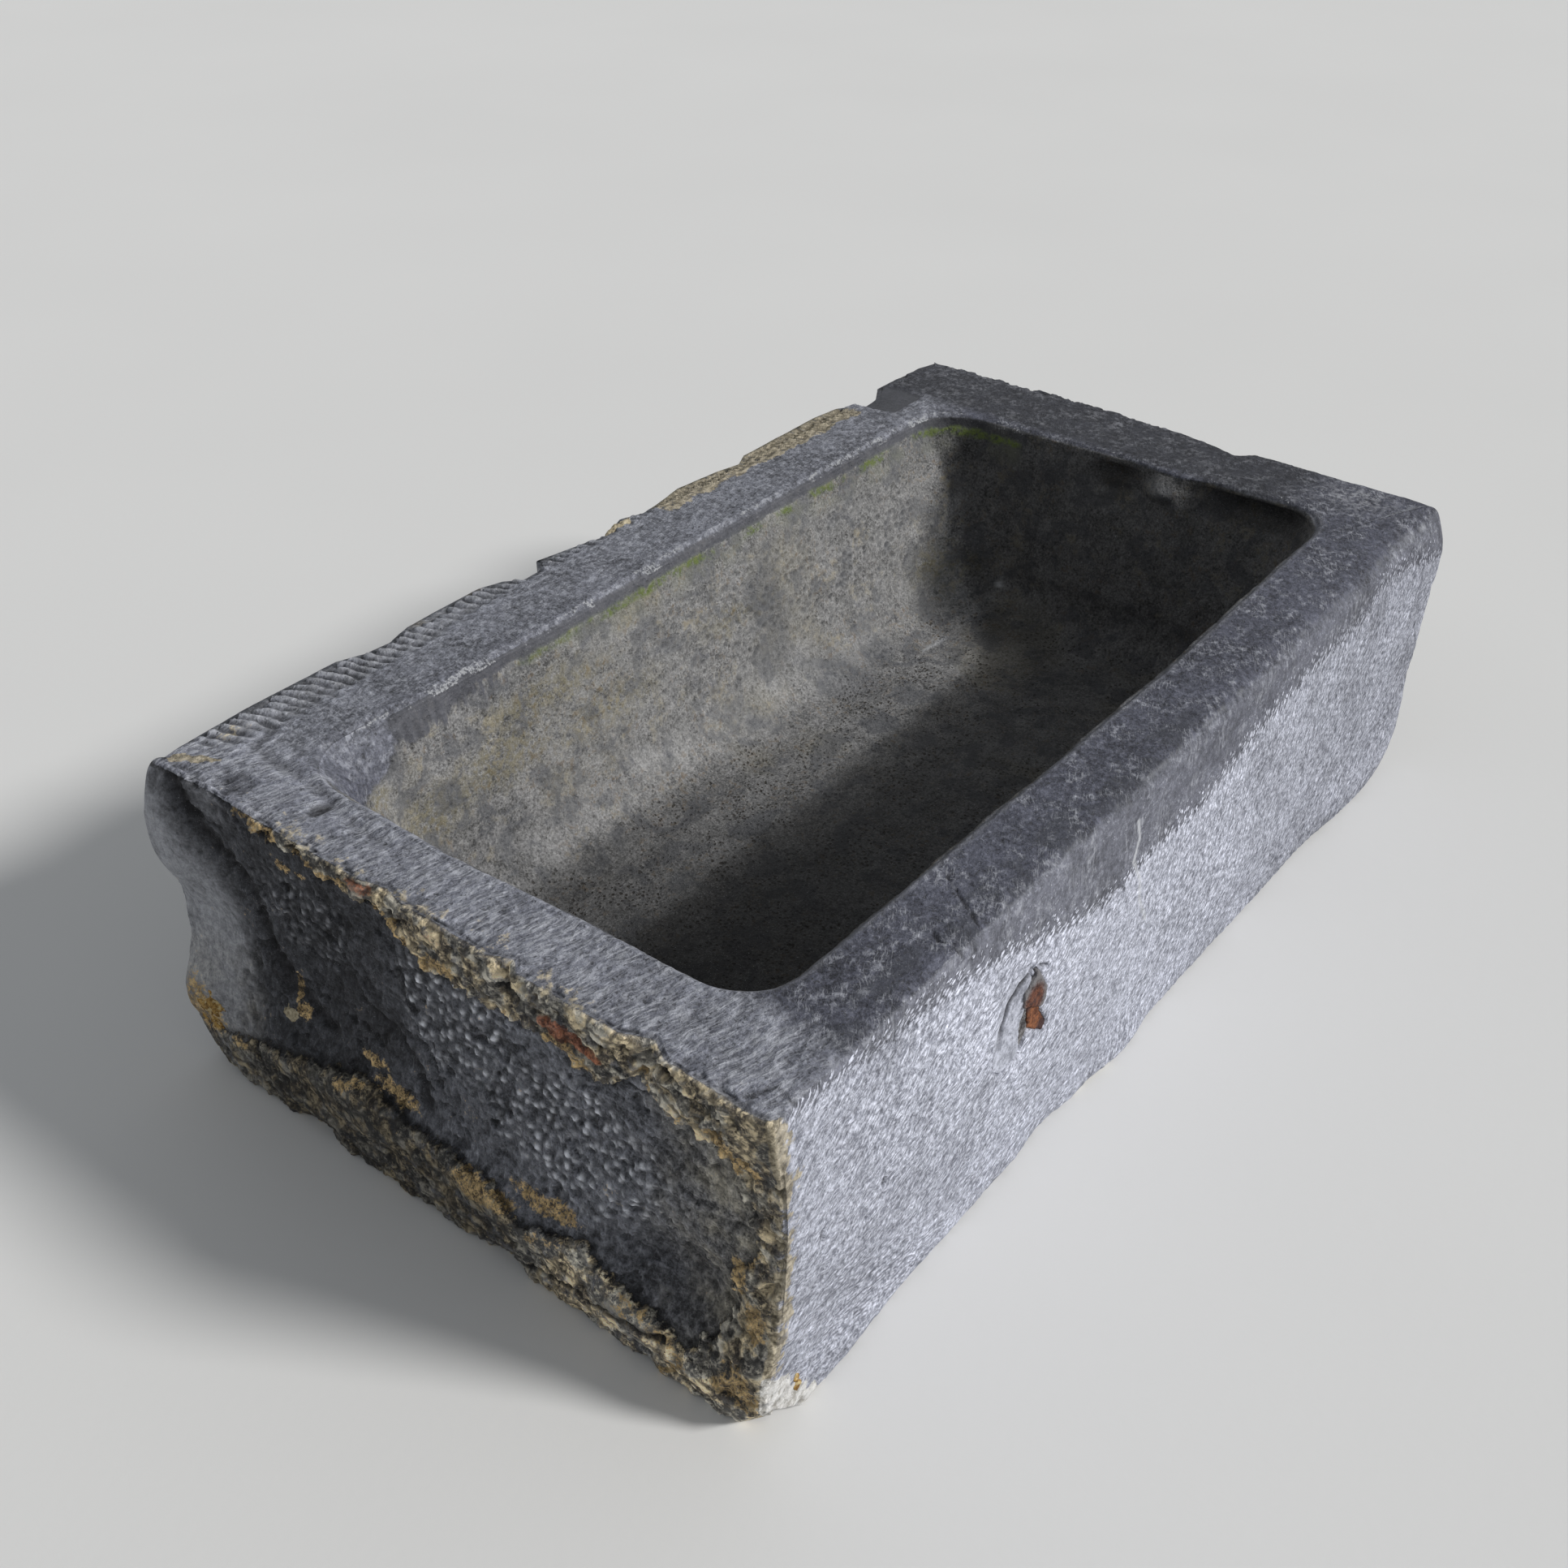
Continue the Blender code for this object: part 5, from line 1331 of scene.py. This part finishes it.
materials = {
    look: lump_material(look, *tones, **others) for look, tones, others in (
        ("rusted_iron_bar", ((0.040, 0.018, 0.016), (0.150, 0.058, 0.034), 0.0012, 0.72), {
            "contrast": 0.09, "edge": (-0.2630, 0.2230, 0.017, 0.020, (0.170, 0.165, 0.172))}),
        ("rusted_iron_wedge", ((0.080, 0.030, 0.018), (0.270, 0.105, 0.046), 0.0012, 0.75), {
            "contrast": 0.09, "edge": (-0.2560, 0.1900, 0.020, 0.024, (0.060, 0.032, 0.030))}),
        ("grey_mortar", ((0.050, 0.046, 0.048), (0.24, 0.235, 0.24), 0.0013), {"contrast": 0.06}),
        ("smooth_filling", ((0.215, 0.225, 0.265), (0.560, 0.580, 0.670), 0.0021, 0.8), {
            "contrast": 0.11, "cracked": True}),
        ("ochre_mortar", ((0.120, 0.060, 0.016), (0.500, 0.320, 0.105), 0.0018), {
            "specks": (0.58, 0.47, 0.26)}),
        ("cream_mortar", ((0.24, 0.20, 0.13), (0.60, 0.53, 0.38), 0.0018), {}),
    )
}


def refined(node, piece_name, slot, look, voxel, amount, scale, seed, gap=0.0):
    """A finer copy of a CAD solid with a rough skin, which stands for it."""
    piece = bpy.data.objects.new(piece_name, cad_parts[node].data.copy())
    bpy.context.scene.collection.objects.link(piece)
    modifier = piece.modifiers.new("fine", "REMESH")
    modifier.mode = "VOXEL"
    modifier.voxel_size = voxel
    bpy.context.view_layer.update()
    mesh = bpy.data.meshes.new_from_object(piece.evaluated_get(bpy.context.evaluated_depsgraph_get()))
    piece.modifiers.clear()
    coarse = piece.data
    piece.data = mesh
    bpy.data.meshes.remove(coarse)
    mesh.materials.clear()
    mesh.materials.append(materials[look])
    points, normals = np.empty((2, len(mesh.vertices) * 3), np.float32)
    mesh.vertices.foreach_get("co", points)
    mesh.vertex_normals.foreach_get("vector", normals)
    points = points.reshape(-1, 3).astype(float)
    points += normals.reshape(-1, 3) * (Lattice(seed).layers(points / scale, 4, 0.6) * amount)[:, None]
    if gap:
        # The crack along the filling's edge: sunk back, and kept as a mask for painted shade in the gap
        from_crack = line_distance(points[:, 0] + half_length, points[:, 2], crack_line)[0]
        crack_share = ease(gap, 0.6 * gap, from_crack) * ease(0.200, 0.230, points[:, 2])
        points[:, 1] += 0.004 * crack_share
        attribute = mesh.attributes.new("cracks", "FLOAT_COLOR", "POINT")
        attribute.data.foreach_set("color", np.repeat(crack_share, 4).astype(np.float32))
    points = np.minimum(np.maximum(points, cad_low), cad_high)
    mesh.vertices.foreach_set("co", points.astype(np.float32).ravel())
    mesh.polygons.foreach_set("use_smooth", np.ones(len(mesh.polygons), bool))
    mesh.update()
    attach(piece, "root")
    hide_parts(node)


for row in (
    ("iron_bar_stub", "rusted_bar_stub", "rusted_iron_bar", "rusted_iron_bar", 0.0008, 0.0011, 0.006, 41),
    ("iron_wedge", "rusted_wedge", "rusted_iron_wedge", "rusted_iron_wedge", 0.0008, 0.0010, 0.006, 43),
    ("mortar_bedding", "bedding_strip", "grey_mortar", "grey_mortar", 0.0009, 0.0009, 0.004, 47),
    ("socket_fill", "smooth_fill", "smooth_filling", "smooth_filling", 0.0010, 0.0004, 0.012, 53, 0.0050),
    ("mortar_lump_end_low", "ochre_lump_low", "ochre_mortar", "ochre_mortar", 0.0011, 0.0034, 0.013, 59),
    ("mortar_lump_end_face", "cream_lump_end", "ochre_mortar", "cream_mortar", 0.0008, 0.0018, 0.007, 61),
    ("mortar_crumb_back_rim", "cream_crumb_rim", "ochre_mortar", "cream_mortar", 0.0008, 0.0014, 0.006, 67),
    ("mortar_lump_front_corner", "ochre_lump_corner", *["ochre_mortar"] * 2, 0.0009, 0.0018, 0.007, 71),
):
    refined(*row)

# Floor, backdrop and light
half = 40.0
floor_mesh = bpy.data.meshes.new("studio_floor")
floor_corners = [(x_end * half, y_end * half, 0.0) for x_end, y_end in ((-1, -1), (1, -1), (1, 1), (-1, 1))]
floor_mesh.from_pydata(floor_corners, [], [(0, 1, 2, 3)])
studio_floor = bpy.data.objects.new("studio_floor", floor_mesh)
bpy.context.scene.collection.objects.link(studio_floor)
floor_look = Look("studio_floor")
floor_tone = floor_look.mix(floor_look.noise(0.8, 2.0), (0.74, 0.74, 0.735), (0.78, 0.78, 0.775))
floor_mesh.materials.append(floor_look.finish(floor_tone, 0.9, floor_look.noise(0.01), 0.0001, specular=0.2))

world = bpy.data.worlds.new("studio")
bpy.context.scene.world = world
sky = Graph(world)
paths = sky.add("ShaderNodeLightPath").outputs
seen = sky.math("MAXIMUM", Tone(sky, paths["Is Camera Ray"]), Tone(sky, paths["Is Glossy Ray"]))
lit = sky.out("ShaderNodeBackground", {"Color": (0.93, 0.965, 1.0), "Strength": 0.32})
shown = sky.out("ShaderNodeBackground", {"Color": (0.92, 0.92, 0.915), "Strength": 0.85})
sky.add("ShaderNodeOutputWorld", {0: sky.out("ShaderNodeMixShader", {0: seen, 1: lit, 2: shown})})

sun_data = bpy.data.lights.new("key", "SUN")
sun_data.energy = 2.9
sun_data.angle = math.radians(11.0)
sun_data.color = (1.0, 0.985, 0.96)
sun = bpy.data.objects.new("key", sun_data)
sun.rotation_euler = Vector((0.45, -1.0, 0.72)).normalized().to_track_quat("Z", "Y").to_euler()
bpy.context.scene.collection.objects.link(sun)

# The camera, at the photograph's angle
camera_place = Vector((-1.2270, -0.8470, 1.1759))
azimuth = math.radians(51.98)
pitch = math.radians(34.80)
roll = math.radians(0.48)
forward = Vector((math.cos(pitch) * math.sin(azimuth), math.cos(pitch) * math.cos(azimuth), -math.sin(pitch)))
right = Vector((math.cos(azimuth), -math.sin(azimuth), 0.0))
above = right.cross(forward)
turned_right = right * math.cos(roll) + above * math.sin(roll)
turned_above = above * math.cos(roll) - right * math.sin(roll)
camera_data = bpy.data.cameras.new("camera")
camera_data.sensor_width = 36.0
camera_data.lens = 39.63
camera = bpy.data.objects.new("camera", camera_data)
camera_rows = [(*row, 0.0) for row in (turned_right, turned_above, -forward)] + [(*camera_place, 1.0)]
camera.matrix_world = Matrix(camera_rows).transposed()
bpy.context.scene.collection.objects.link(camera)
bpy.context.scene.camera = camera
bpy.context.scene.view_settings.view_transform = "Standard"

bpy.context.view_layer.update()
